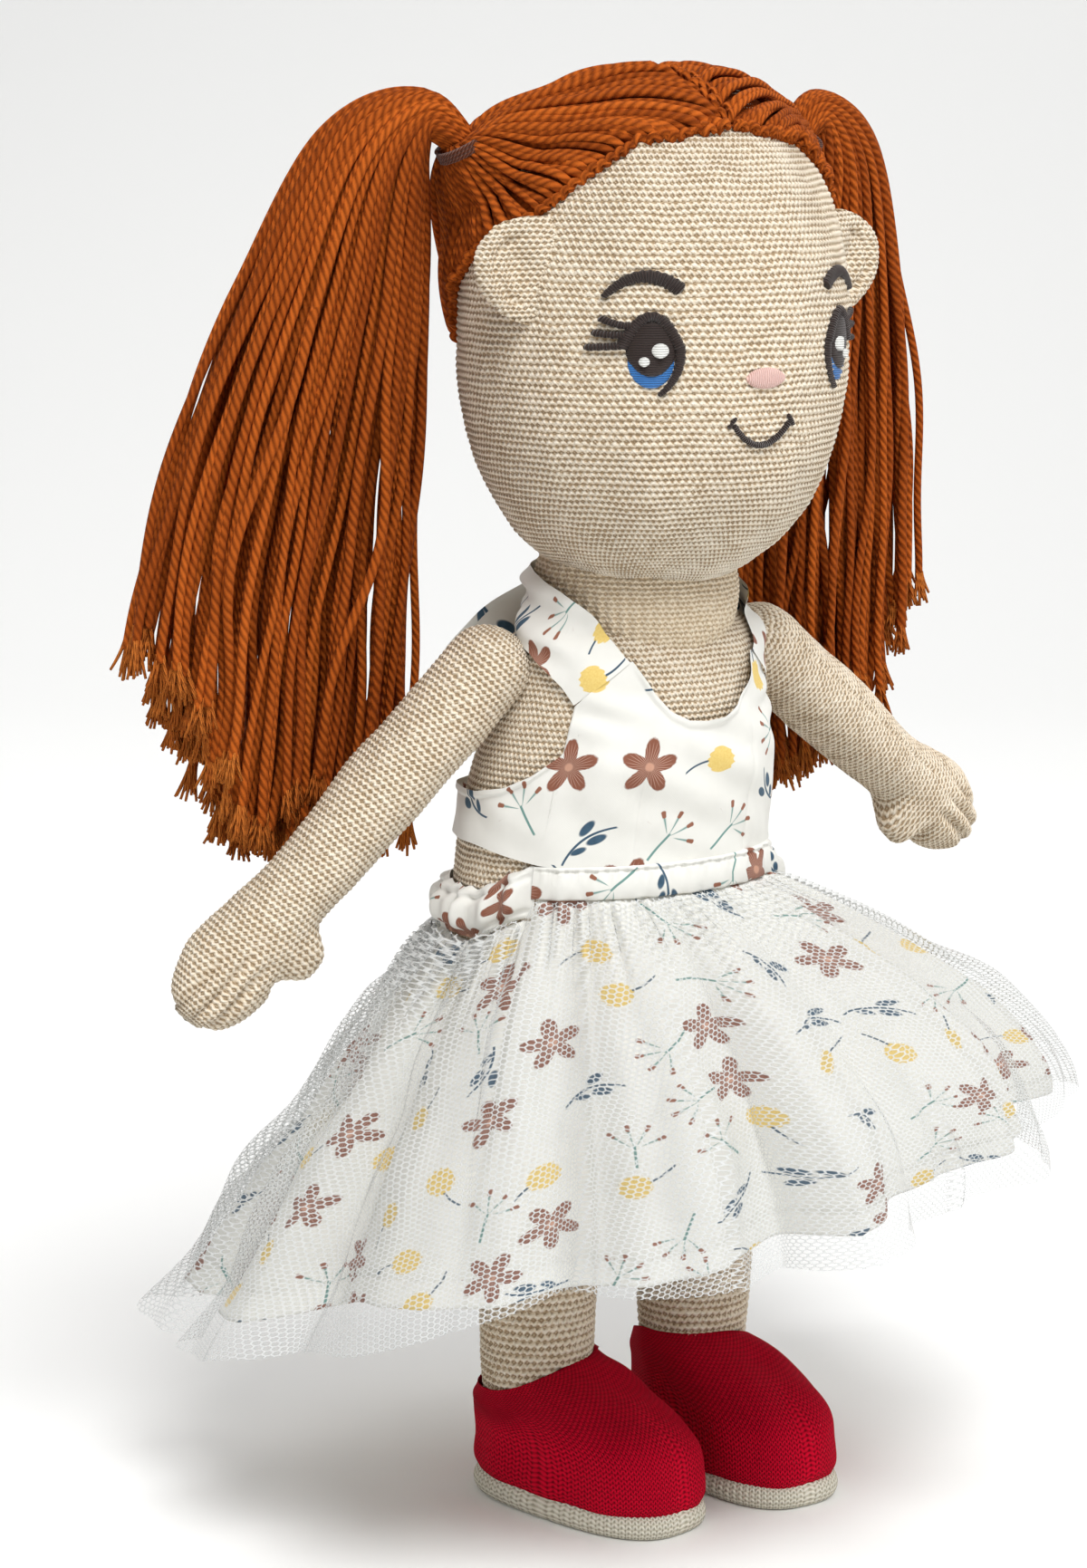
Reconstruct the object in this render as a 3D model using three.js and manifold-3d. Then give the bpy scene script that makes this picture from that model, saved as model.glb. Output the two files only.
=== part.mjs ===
// A knitted doll in a printed dress, standing on its own two feet.
// Millimetres, +Z up, the doll faces -Y, the origin is on the ground between its shoes.
import * as THREE from "three";
import { mergeVertices } from "three/addons/utils/BufferGeometryUtils.js";
import Module from "manifold-3d";

const wasm = await Module();
wasm.setup();

// Clearances and thicknesses
const sewnGap = 0.3;
const jointGap = 0.4;
const fillingGap = 0.4;
const coverThickness = 1.6;
const shoeThickness = 1.4;
const clothThickness = 1;
const threadThickness = 0.9;
const hairThickness = 4.2;
const overrun = 10;
const farAway = 150;

// Torso
const torsoBottom = 121;
const torsoTop = 226.5;
const torsoHalfWidth = 43;
const torsoHalfDepth = 32;
const torsoLean = 9;
const torsoBack = 3;

// Neck, a stuffed band whose ball shape lets the head nod and turn
const neckAboveTorso = 2.5;
const neckHeight = torsoTop + neckAboveTorso;
const neckForward = 9;
const neckRadius = 25;
const neckHalfBand = 17;

// Head
const headAboveNeck = 63.5;
const headHeight = neckHeight + headAboveNeck;
const headForward = 16;
const headHalfWidth = 48;
const headHalfDepth = 47;
const headHalfHeight = 61.5;
const headSquareness = 2.3;

// Arms. The left one reaches further out, so the body stands aside of the middle of the whole
const bodyAside = 7.3;
const shoulderSide = 40.5;
const shoulderForward = 4;
const shoulderHeight = 212;
const armLength = 112;
const armRadius = 10.5;
const armDepthShare = 0.95;
const thumbRadius = 5.5;
const thumbLength = 9;

// Legs
const hipSide = 24;
const hipHeight = 120;
const hipForward = 0;
const legRadius = 16;
const legBottom = 8.4;

// Shoes
const shoeHalfLength = 33.5;
const shoeHalfWidth = 17.4;
const shoeForward = 18;
const shoeHeight = 36;
const soleThickness = 6.3;
const soleEdge = 1.8;
const shoeSquareness = 2.8;

// Ears
const earHalfHeight = 12.5;
const earReach = 15;
const earThickness = 7;
const earAboveMiddle = 16.5;
const earHeight = headHeight + earAboveMiddle;

// Embroidered face
const eyeBelowMiddle = 2.5;
const eyeHeight = headHeight - eyeBelowMiddle;
const eyeHalfWidth = 5.7;
const eyeHalfHeight = 7.9;
const lidThickness = 2.4;
const lashLength = 5.4;
const lashThickness = 1.5;
const highlightRadius = 1.7;
const smallHighlightRadius = 1.1;
const browAboveEye = 16;
const browHeight = eyeHeight + browAboveEye;
const browHalfLength = 8.6;
const browThickness = 3.4;
const browRise = 3;
const noseBelowEye = 6;
const noseHeight = eyeHeight - noseBelowEye;
const noseHalfWidth = 5.4;
const noseHalfHeight = 2.5;
const mouthBelowNose = 10.4;
const mouthHeight = noseHeight - mouthBelowNose;
const mouthHalfWidth = 8.2;
const mouthDrop = 5.4;
const mouthThickness = 1.5;

// Hair
const tieRadius = 6;
const tieThickness = 1.8;
const tieOut = 49;
const tieAboveMiddle = 46.5;
const tieHeight = headHeight + tieAboveMiddle;
const tieRise = 17;
const tieRootHeight = tieHeight - tieRise;
const tieRootRadius = 17;
const pigtailDrop = 150;
const pigtailHalfWidth = 36;
const pigtailHalfDepth = 13;
const armLineGap = 5;

// Dress
const bibRise = 49;
const bandTop = 182;
const bandBottom = 164.5;
const waistbandHeight = 8;
const waistbandThickness = 1.8;
const waistGap = 0.8;
const casingDrop = 6.5;
const casingHeight = 12.5;
const casingThickness = 4;
const elasticHeight = 5;
const elasticThickness = 1;
const strapWidth = 12;
const strapFrontDrop = 13;
const strapBackRise = 1.5;
const strapFrontHeight = neckHeight - strapFrontDrop;
const strapBackHeight = neckHeight + strapBackRise;
const clothGap = 0.5;
const neckClothGap = 0.7;
const knotHalfWidth = 4.5;
const bowHalfWidth = 34;
const bowDrop = 2.5;
const bowHeight = strapBackHeight - bowDrop;
const bowThickness = 4;
const skirtHemRadius = 105;
const skirtHemForward = 0.9;
const skirtHemHeight = 77.5;
const skirtHemLift = 24;
const skirtFoldDepth = 6;
const netGap = 1.3;
const netBeyondHem = 4;

// Directions seen from above
const RIGHT = -1;
const LEFT = 1;
const SIDES = [
  [RIGHT, "r"],
  [LEFT, "l"],
];
const armSpread = { r: THREE.MathUtils.degToRad(43), l: THREE.MathUtils.degToRad(57) };
const armSweep = { r: THREE.MathUtils.degToRad(15), l: THREE.MathUtils.degToRad(17) };
// In degrees
const toeIn = { r: 12, l: 0 };
const earRoot = THREE.MathUtils.degToRad(70);
const earSweep = THREE.MathUtils.degToRad(105);
const tieTurn = THREE.MathUtils.degToRad(100);
const eyeTurn = THREE.MathUtils.degToRad(35);
const waistbandTurn = THREE.MathUtils.degToRad(55);
const liftTurn = THREE.MathUtils.degToRad(-38);
const pigtailSwing = 45;

// Counts
const skirtFolds = 12;
const headRows = 12;
const hairlineSteps = 18;
const pigtailSteps = 10;
const pigtailSides = 12;
const pigtailSwingSteps = 3;

// Finishes
const finish = (colour, roughness = 0.9) =>
  new THREE.MeshStandardMaterial({ color: colour, roughness, metalness: 0 });
const knitYarn = finish("#d9c5a2");
const fibre = finish("#f4f2ec");
const hairYarn = finish("#a8552a");
const cotton = finish("#f1f2f0");
const net = finish("#fbfbfb", 0.6);
const redKnit = finish("#b3122f");
const creamKnit = finish("#d9d5c4");
const darkThread = finish("#2e2222", 0.6);
const blueThread = finish("#2f6eb5", 0.6);
const whiteThread = finish("#f6f6f4", 0.6);
const pinkThread = finish("#f0c9c0", 0.7);
const elasticWeb = finish("#e8e6df", 0.8);

const doll = new THREE.Group();

// Meshes and solids

function signedVolume(positions, index) {
  const corner = [new THREE.Vector3(), new THREE.Vector3(), new THREE.Vector3()];
  let volume = 0;
  for (let i = 0; i < index.length; i += 3) {
    corner.forEach((c, k) => c.fromArray(positions, index[i + k] * 3));
    volume += corner[0].dot(corner[1].cross(corner[2])) / 6;
  }
  return volume;
}

// The middle of a ring of points, as a ring of its own
const ringMiddle = (ring) => [
  ring.reduce((sum, p) => sum.add(p), new THREE.Vector3()).multiplyScalar(1 / ring.length),
];

// Joins rings of points into one closed surface. A ring of one point is a pole.
// With looped, the last ring joins the first, which makes a ring-shaped sheet.
function skin(rings, looped = false) {
  const positions = [];
  const starts = rings.map((ring) => {
    const start = positions.length / 3;
    ring.forEach((p) => positions.push(p.x, p.y, p.z));
    return start;
  });
  const index = [];
  const pairs = looped ? rings.length : rings.length - 1;
  for (let r = 0; r < pairs; r += 1) {
    const above = (r + 1) % rings.length;
    const lower = rings[r].length > 1;
    const upper = rings[above].length > 1;
    const count = Math.max(rings[r].length, rings[above].length);
    for (let k = 0; k < count; k += 1) {
      const next = (k + 1) % count;
      const low = [starts[r] + (lower ? k : 0), starts[r] + (lower ? next : 0)];
      const high = [starts[above] + (upper ? k : 0), starts[above] + (upper ? next : 0)];
      if (lower) index.push(low[0], low[1], high[0]);
      if (upper) index.push(low[1], high[1], high[0]);
    }
  }
  if (signedVolume(positions, index) < 0) index.reverse();
  const geometry = new THREE.BufferGeometry();
  geometry.setAttribute("position", new THREE.Float32BufferAttribute(positions, 3));
  geometry.setIndex(index);
  return geometry;
}

function solidOf(geometry) {
  const bare = geometry.clone();
  bare.deleteAttribute("normal");
  bare.deleteAttribute("uv");
  const merged = mergeVertices(bare);
  return new wasm.Manifold(
    new wasm.Mesh({
      numProp: 3,
      vertProperties: new Float32Array(merged.attributes.position.array),
      triVerts: new Uint32Array(merged.index.array),
    }),
  );
}

function geometryOf(solid) {
  const mesh = solid.getMesh();
  const geometry = new THREE.BufferGeometry();
  geometry.setAttribute("position", new THREE.Float32BufferAttribute(mesh.vertProperties, 3));
  geometry.setIndex(new THREE.Uint32BufferAttribute(mesh.triVerts, 1));
  return geometry;
}

function add(name, shape, material) {
  const geometry = shape.isBufferGeometry ? shape : geometryOf(shape);
  geometry.computeVertexNormals();
  const mesh = new THREE.Mesh(geometry, material);
  mesh.name = name;
  doll.add(mesh);
}

const cut = (solid, ...tools) => tools.reduce((left, tool) => left.subtract(tool), solid);
const join = (solid, ...more) => more.reduce((whole, piece) => whole.add(piece), solid);

const largest = (solid) => solid.decompose().sort((p, q) => q.volume() - p.volume())[0];

const placed = (geometry, x, y, z) => solidOf(geometry.translate(x, y, z));

const ball = (radius, x, y, z, sides, rows) =>
  placed(new THREE.SphereGeometry(radius, sides, rows).rotateX(Math.PI / 2), x, y, z);

// A faceted ball with its flats, not its corners, at the radius
function socket(radius, x, y, z, sides = 12, rows = 8) {
  const reach = radius / (Math.cos(Math.PI / sides) * Math.cos(Math.PI / (2 * rows)));
  return ball(reach, x, y, z, sides, rows);
}

const block = (x0, x1, y0, y1, z0, z1) =>
  placed(
    new THREE.BoxGeometry(x1 - x0, y1 - y0, z1 - z0),
    (x0 + x1) / 2,
    (y0 + y1) / 2,
    (z0 + z1) / 2,
  );

// A solid whose outline is drawn as seen from the front, from y0 back to y1
function frontCut(shape, y0, y1) {
  const geometry = new THREE.ExtrudeGeometry(shape, {
    depth: y1 - y0,
    bevelEnabled: false,
    curveSegments: 8,
  });
  return placed(geometry.rotateX(Math.PI / 2), 0, y1, 0);
}

const shapeOf = (points) => new THREE.Shape(points.map(([x, z]) => new THREE.Vector2(x, z)));

// Rounded forms: a stack of stations, each a level with two half-widths and a shift along y

function oval(station, sides, squareness = 2) {
  if (station.a === 0) return [new THREE.Vector3(0, station.y, station.z)];
  const bow = (v) => Math.sign(v) * Math.abs(v) ** (2 / squareness);
  return Array.from({ length: sides }, (_, k) => {
    const turn = (k / sides) * 2 * Math.PI;
    const x = station.a * bow(Math.cos(turn));
    return new THREE.Vector3(x, station.y + station.b * bow(Math.sin(turn)), station.z);
  });
}

// Moves every station outward along its normal; poles move along z
function grown(stations, grow) {
  const last = stations.length - 1;
  return stations.map((s, i) => {
    if (i === 0 || i === last) return { ...s, z: s.z + (i === 0 ? -grow : grow) };
    const rise = stations[i + 1].z - stations[i - 1].z;
    const spread =
      (stations[i + 1].a + stations[i + 1].b - stations[i - 1].a - stations[i - 1].b) / 2;
    const length = Math.hypot(rise, spread);
    const out = (grow * rise) / length;
    return { ...s, a: s.a + out, b: s.b + out, z: s.z - (grow * spread) / length };
  });
}

// Smooth stations through rows of [level, half-width, half-depth, shift]
function smoothStations(rows, count) {
  const outline = new THREE.CatmullRomCurve3(
    rows.map(([z, a, b]) => new THREE.Vector3(a, b, z)),
    false,
    "catmullrom",
  );
  const shifts = new THREE.CatmullRomCurve3(
    rows.map((row) => new THREE.Vector3(row[3], 0, 0)),
    false,
    "catmullrom",
  );
  return Array.from({ length: count + 1 }, (_, i) => {
    const point = outline.getPoint(i / count);
    const pole = i === 0 || i === count;
    const y = shifts.getPoint(i / count).x;
    return { a: pole ? 0 : point.x, b: pole ? 0 : point.y, y, z: point.z };
  });
}

const form = (stations, sides, grow) =>
  solidOf(skin(grown(stations, grow).map((station) => oval(station, sides))));

// Head: a ball drawn out to an egg, squarer than an ellipse

const headStations = Array.from({ length: headRows + 1 }, (_, i) => {
  const turn = (i / headRows - 0.5) * Math.PI;
  const level = Math.sign(turn) * Math.abs(Math.sin(turn)) ** (2 / headSquareness);
  const width = i % headRows === 0 ? 0 : Math.cos(turn) ** (2 / headSquareness);
  return {
    z: headHeight + headHalfHeight * level,
    a: headHalfWidth * width,
    b: headHalfDepth * width,
    y: -headForward,
  };
});
const headSolid = (grow, sides = 20) => form(headStations, sides, grow);
const neckSocket = (grow) => socket(neckRadius + grow, 0, -neckForward, neckHeight, 18, 12);

function makeHead() {
  const socket = neckSocket(jointGap);
  add("head_knit_cover", cut(headSolid(0), headSolid(-coverThickness, 14), socket), knitYarn);
  const core = headSolid(-coverThickness - fillingGap, 14);
  const filling = cut(core, neckSocket(coverThickness));
  add("head_stuffing", filling, fibre);
}

// The outward point of the head at a turn from the nose, at a level
function onHead(turn, z, out) {
  const level = Math.abs(z - headHeight) / headHalfHeight;
  const share = (1 - level ** headSquareness) ** (1 / headSquareness);
  return new THREE.Vector3(
    Math.sin(turn) * (headHalfWidth * share + out),
    -headForward - Math.cos(turn) * (headHalfDepth * share + out),
    z,
  );
}

// Neck: the zone of a ball between two level cuts, as a sleeve with its stuffing

function makeNeck() {
  const zone = (radius, half) => {
    const slab = block(
      -farAway,
      farAway,
      -farAway,
      farAway,
      neckHeight - half,
      neckHeight + half,
    );
    return ball(radius, 0, -neckForward, neckHeight, 18, 12).intersect(slab);
  };
  const inner = neckRadius - coverThickness;
  const sleeve = cut(zone(neckRadius, neckHalfBand), zone(inner, neckHalfBand + overrun));
  add("neck_knit_band", sleeve, knitYarn);
  add("neck_stuffing", zone(inner - sewnGap, neckHalfBand - sewnGap), fibre);
}

// Torso: shares of its height, half-width, half-depth and lean, from the seat up

const torsoShares = [
  [0, 0, 0, 0],
  [0.006, 0.5, 0.48, 0],
  [0.035, 0.8, 0.8, 0],
  [0.11, 0.97, 0.97, 0],
  [0.26, 1, 1, 0],
  [0.4, 0.965, 0.97, 0.05],
  [0.56, 0.94, 0.95, 0.3],
  [0.7, 0.87, 0.92, 0.55],
  [0.82, 0.8, 0.85, 0.75],
  [0.9, 0.78, 0.74, 0.88],
  [0.96, 0.68, 0.56, 0.96],
  [0.99, 0.4, 0.32, 1],
  [1, 0, 0, 1],
];
const torsoStations = smoothStations(
  torsoShares.map(([up, width, depth, lean]) => [
    torsoBottom + (torsoTop - torsoBottom) * up,
    torsoHalfWidth * width,
    torsoHalfDepth * depth,
    torsoBack - (torsoLean + torsoBack) * lean,
  ]),
  13,
);
const torsoSolid = (grow, sides = 20) => form(torsoStations, sides, grow);
const shoulder = (side) => [side * shoulderSide, -shoulderForward, shoulderHeight];
const hip = (side) => [side * hipSide, -hipForward, hipHeight];

function makeTorso() {
  const sockets = (grow) => [
    neckSocket(grow),
    ...SIDES.map(([side]) => socket(armRadius + grow, ...shoulder(side))),
    ...SIDES.map(([side]) => socket(legRadius + grow, ...hip(side))),
  ];
  const cover = cut(torsoSolid(0), torsoSolid(-coverThickness, 14), ...sockets(jointGap));
  add("torso_knit_cover", cover, knitYarn);
  const core = torsoSolid(-coverThickness - fillingGap, 14);
  const filling = cut(core, ...sockets(coverThickness));
  add("torso_stuffing", filling, fibre);
}

// Limbs: forms that hang down from a ball centred on their joint

function domeRows(radius) {
  return [90, 62, 34].map((degrees) => {
    const turn = THREE.MathUtils.degToRad(degrees);
    const width = degrees === 90 ? 0 : radius * Math.cos(turn);
    return [radius * Math.sin(turn), width, width, 0];
  });
}

// Shares of the arm's length and radius, from the shoulder to the fingertips
const armShares = [
  [0, 1, 1],
  [0.19, 1.02, 1.02],
  [0.42, 1, 1],
  [0.62, 0.9, 0.88],
  [0.74, 1.02, 0.9],
  [0.86, 1.16, 0.88],
  [0.95, 0.86, 0.68],
  [0.99, 0.45, 0.4],
  [1, 0, 0],
];
const armStations = smoothStations(
  [
    ...domeRows(armRadius),
    ...armShares.map(([along, width, depth]) => [
      -armLength * along,
      armRadius * width,
      armRadius * depth * (along > 0 ? armDepthShare : 1),
      0,
    ]),
  ],
  13,
).reverse();

// Takes a hanging arm to its place at the shoulder, out to the side and swept back
const armPose = (side, tag) =>
  new THREE.Matrix4()
    .makeTranslation(...shoulder(side))
    .multiply(new THREE.Matrix4().makeRotationZ(side * armSweep[tag]))
    .multiply(new THREE.Matrix4().makeRotationY(-side * armSpread[tag]));

function armSolid(side, tag, grow, sides) {
  const rings = grown(armStations, grow).map((station) => oval(station, sides));
  return solidOf(skin(rings).applyMatrix4(armPose(side, tag)));
}

function makeArm(side, tag) {
  const pose = armPose(side, tag);
  const thumb = new THREE.SphereGeometry(1, 8, 6)
    .scale(thumbRadius, thumbRadius, thumbLength)
    .rotateY((side * Math.PI) / 9)
    .translate(-side * armRadius, 0, -armLength * 0.76);
  const hole = new THREE.CylinderGeometry(armRadius / 3, armRadius / 3, armRadius, 10)
    .rotateX(Math.PI / 2)
    .translate(0, 0, armRadius);
  const outside = armSolid(side, tag, 0, 10).add(solidOf(thumb.applyMatrix4(pose)));
  const inside = armSolid(side, tag, -coverThickness, 8);
  const cover = cut(outside, inside, solidOf(hole.applyMatrix4(pose)));
  add(`arm_knit_cover_${tag}`, cover, knitYarn);
  add(`arm_stuffing_${tag}`, armSolid(side, tag, -coverThickness - fillingGap, 8), fibre);
}

// Shares of the leg's radius down to the foot, with levels as shares of the hip's height
const legShares = [
  [0, 1],
  [0.33, 1.03],
  [0.58, 0.94],
  [0.74, 0.88],
  [0.84, 0.8],
  [0.9, 0.72],
  [0.925, 0.5],
];
const legStations = smoothStations(
  [
    ...domeRows(legRadius),
    ...legShares.map(([down, width]) => [
      -hipHeight * down,
      legRadius * width,
      legRadius * width,
      0,
    ]),
    [legBottom - hipHeight, 0, 0, 0],
  ],
  11,
).reverse();

const legSolid = (side, grow, sides) =>
  form(legStations, sides, grow).translate(...hip(side));

function makeLeg(side, tag) {
  const hole = placed(
    new THREE.CylinderGeometry(legRadius / 3, legRadius / 3, legRadius, 10).rotateX(Math.PI / 2),
    side * hipSide,
    -hipForward,
    hipHeight + legRadius,
  );
  const cover = cut(legSolid(side, 0, 12), legSolid(side, -coverThickness, 8), hole);
  add(`leg_knit_cover_${tag}`, cover, knitYarn);
  add(`leg_stuffing_${tag}`, legSolid(side, -coverThickness - fillingGap, 8), fibre);
}

// Shoes: level outlines that shrink from the whole foot to the ankle.
// Shares of the height above the sole, half-length, forward shift and half-width.
const shoeShares = [
  [0, 0, 1, 0],
  [0, 0.96, 1, 0.95],
  [0.1, 1, 1, 1],
  [0.28, 0.98, 1, 0.99],
  [0.45, 0.97, 0.94, 0.98],
  [0.59, 0.91, 0.8, 0.97],
  [0.72, 0.81, 0.58, 0.97],
  [0.86, 0.67, 0.28, 0.97],
  [1, 0.55, 0.03, 0.975],
  [1, 0, 0, 0],
];
const shoeBase = soleThickness + sewnGap;
const shoeStations = shoeShares.map(([up, length, forward, width]) => ({
  z: shoeBase + (shoeHeight - shoeBase) * up,
  a: shoeHalfWidth * width,
  b: shoeHalfLength * length,
  y: -shoeForward * forward,
}));

// Takes a shoe from the middle to under its leg, with its toe turned
const atFoot = (solid, side, tag) =>
  solid.rotate(0, 0, -side * toeIn[tag]).translate(side * hipSide, -hipForward, 0);

function shoeSolid(grow) {
  const stations = shoeStations.map((s, i) => {
    const bottom = i < 2;
    const flat = s.a === 0 ? 0 : grow;
    return { ...s, a: s.a + flat, b: s.b + flat, z: bottom ? s.z - grow : s.z };
  });
  const rings = stations.map((station) => oval(station, 16, shoeSquareness));
  return solidOf(skin(rings));
}

function makeShoe(side, tag) {
  const mouth = block(-farAway, farAway, -farAway, farAway, shoeHeight - sewnGap, farAway);
  const inside = shoeSolid(-shoeThickness);
  const lining = inside.translate(0, 0, sewnGap).intersect(mouth);
  add(`shoe_upper_${tag}`, atFoot(cut(shoeSolid(0), inside, lining), side, tag), redKnit);

  const toe = block(-farAway, farAway, -farAway, -legRadius - sewnGap, 0, farAway);
  const filling = atFoot(shoeSolid(-shoeThickness - sewnGap).intersect(toe), side, tag);
  add(`toe_stuffing_${tag}`, cut(filling, legSolid(side, sewnGap, 12)), fibre);

  const edge = (inset, z) => ({
    z,
    a: shoeHalfWidth - inset,
    b: shoeHalfLength - inset,
    y: -shoeForward,
  });
  const soleStations = [
    { z: 0, a: 0, b: 0, y: -shoeForward },
    edge(soleEdge, 0),
    edge(0, soleThickness / 3),
    edge(0, (soleThickness * 2) / 3),
    edge(soleEdge / 2, soleThickness),
    { z: soleThickness, a: 0, b: 0, y: -shoeForward },
  ];
  const rings = soleStations.map((station) => oval(station, 16, shoeSquareness));
  add(`shoe_sole_${tag}`, atFoot(solidOf(skin(rings)), side, tag), creamKnit);
}

// Hair: a layer of yarn over the skull, drawn into a bunch on each side

// Level of the hair's edge, by turn from the nose in degrees
const hairlineShares = [
  [0, 0.805],
  [40, 0.745],
  [60, 0.585],
  [74, 0.44],
  [95, 0.33],
  [124, 0.13],
  [155, -0.24],
  [180, -0.4],
];

function hairlineHeight(degrees) {
  const above = hairlineShares.findIndex(([turn]) => turn >= degrees);
  if (above === 0) return headHeight + headHalfHeight * hairlineShares[0][1];
  const [t0, share0] = hairlineShares[above - 1];
  const [t1, share1] = hairlineShares[above];
  const share = share0 + ((share1 - share0) * (degrees - t0)) / (t1 - t0);
  return headHeight + headHalfHeight * share;
}

// All space above the hairline on one side of the part
function aboveHairline(side, drop) {
  const rings = Array.from({ length: hairlineSteps + 1 }, (_, k) => {
    const degrees = (k * 180) / hairlineSteps;
    const turn = side * THREE.MathUtils.degToRad(degrees);
    const low = hairlineHeight(degrees) - drop;
    const corner = (radius, z) =>
      new THREE.Vector3(radius * Math.sin(turn), -headForward - radius * Math.cos(turn), z);
    const high = headHeight + farAway;
    return [
      corner(sewnGap, low),
      corner(farAway, low),
      corner(farAway, high),
      corner(sewnGap, high),
    ];
  });
  return solidOf(skin([ringMiddle(rings[0]), ...rings, ringMiddle(rings.at(-1))]));
}

const tiePlace = (side) =>
  new THREE.Vector3(
    side * Math.sin(tieTurn) * tieOut,
    -headForward - Math.cos(tieTurn) * tieOut,
    tieHeight,
  );
const tieRoot = (side) => onHead(side * tieTurn, tieRootHeight, -hairThickness);
const tieDirection = (side) => tiePlace(side).sub(tieRoot(side)).normalize();

function alongTie(geometry, place, direction) {
  const turn = new THREE.Quaternion().setFromUnitVectors(new THREE.Vector3(0, 1, 0), direction);
  return geometry.applyQuaternion(turn).translate(...place.toArray());
}

function hairSolid(side, grow) {
  const shell = cut(headSolid(hairThickness + grow), headSolid(sewnGap - grow));
  const half = block(
    side > 0 ? sewnGap / 2 : -farAway,
    side > 0 ? farAway : -sewnGap / 2,
    -farAway,
    farAway,
    0,
    headHeight + farAway,
  );
  const root = tieRoot(side);
  const end = tiePlace(side);
  const length = end.distanceTo(root);
  const cone = new THREE.CylinderGeometry(
    tieRadius + grow,
    tieRootRadius + grow,
    length + 2 * grow,
    14,
  );
  const bunch = solidOf(alongTie(cone, root.clone().lerp(end, 0.5), tieDirection(side)));
  const drawn = cut(bunch, headSolid(sewnGap - grow));
  return shell.intersect(aboveHairline(side, grow)).intersect(half).add(drawn);
}

function makeHair(side, tag) {
  add(`hair_cap_${tag}`, hairSolid(side, 0), hairYarn);

  const back = tieThickness * 1.5;
  const slope = (tieRootRadius - tieRadius) / tiePlace(side).distanceTo(tieRoot(side));
  const inner = tieRadius + slope * back + sewnGap;
  const half = tieThickness / 2;
  const ringOutline = [
    [inner, -half],
    [inner + tieThickness, -half],
    [inner + tieThickness, half],
    [inner, half],
    [inner, -half],
  ].map(([radius, along]) => new THREE.Vector2(radius, along));
  const tie = new THREE.LatheGeometry(ringOutline, 16);
  const place = tiePlace(side).addScaledVector(tieDirection(side), half - back);
  add(`hair_tie_${tag}`, solidOf(alongTie(tie, place, tieDirection(side))), darkThread);
}

// Pigtail: rows of side, back and down shares of its drop from the tie, and shares of its
// half-width and half-depth. The right one falls wider than the left one.
const pigtailShares = [
  [-0.01, 0, 0.015, 0.11, 0.3],
  [0.06, 0.025, -0.035, 0.2, 0.46],
  [0.13, 0.07, 0.05, 0.48, 0.75],
  [0.165, 0.13, 0.27, 0.75, 0.96],
  [0.185, 0.185, 0.51, 0.92, 1],
  [0.19, 0.225, 0.74, 1, 1],
  [0.19, 0.24, 0.92, 0.94, 0.9],
  [0.19, 0.245, 0.99, 0.7, 0.7],
];
const pigtailWidthShare = { r: 1, l: 0.82 };
// How far in its narrower pigtail hangs, as a share of the width that it lacks
const narrowShiftShare = 0.8;

function pigtailSolid(side, tag) {
  const start = tiePlace(side);
  const spread = pigtailWidthShare[tag];
  const path = new THREE.CatmullRomCurve3(
    pigtailShares.map(([out, back, down]) => {
      const reach = pigtailDrop * out + pigtailHalfWidth * narrowShiftShare * (spread - 1) * down;
      return new THREE.Vector3(
        start.x + side * reach,
        start.y + pigtailDrop * back,
        start.z - pigtailDrop * down,
      );
    }),
    false,
    "catmullrom",
  );
  const size = new THREE.CatmullRomCurve3(
    pigtailShares.map(
      ([, , , width, depth]) =>
        new THREE.Vector3(pigtailHalfWidth * spread * width, pigtailHalfDepth * depth, 0),
    ),
    false,
    "catmullrom",
  );
  const rings = Array.from({ length: pigtailSteps + 1 }, (_, i) => {
    const along = path.getTangent(i / pigtailSteps);
    const depthways = new THREE.Vector3(0, 1, 0).addScaledVector(along, -along.y).normalize();
    const sideways = depthways.clone().cross(along);
    const centre = path.getPoint(i / pigtailSteps);
    const half = size.getPoint(i / pigtailSteps);
    return Array.from({ length: pigtailSides }, (_unused, k) => {
      const turn = (k / pigtailSides) * 2 * Math.PI;
      return centre
        .clone()
        .addScaledVector(sideways, half.x * Math.cos(turn))
        .addScaledVector(depthways, half.y * Math.sin(turn));
    });
  });
  const ends = [path.getPoint(0), path.getPoint(1)];
  return solidOf(skin([[ends[0]], ...rings, [ends[1]]]));
}

// All space above the line of an arm, so that the hair clears it when the head turns
function aboveArm(side, tag) {
  const slope = 1 / (Math.tan(armSpread[tag]) * Math.cos(armSweep[tag]));
  const lift = (armRadius + armLineGap) * Math.hypot(1, slope);
  const start = shoulderHeight + lift;
  const outline = [
    [side * shoulderSide - side * farAway, start + farAway * slope],
    [side * shoulderSide + side * farAway, start - farAway * slope],
    [side * farAway * 2, start + farAway],
    [side * shoulderSide - side * farAway, start + farAway * 2],
  ];
  return frontCut(shapeOf(side > 0 ? outline : outline.reverse()), -farAway, farAway);
}

// The room that the bunched hair needs while a pigtail swings out round its tie
function bunchRoom(side) {
  const { x, y, z } = tiePlace(side);
  const bunch = hairSolid(side, sewnGap).translate(-x, -y, -z);
  return Array.from({ length: pigtailSwingSteps + 1 }, (_, i) =>
    bunch.rotate(0, (side * pigtailSwing * i) / pigtailSwingSteps, 0).translate(x, y, z),
  );
}

function makePigtail(side, tag) {
  const hanging = pigtailSolid(side, tag).intersect(aboveArm(side, tag));
  add(`pigtail_${tag}`, largest(cut(hanging, ...bunchRoom(side))), hairYarn);
}

// Ears: a folded flap that sweeps back from its seam

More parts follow.
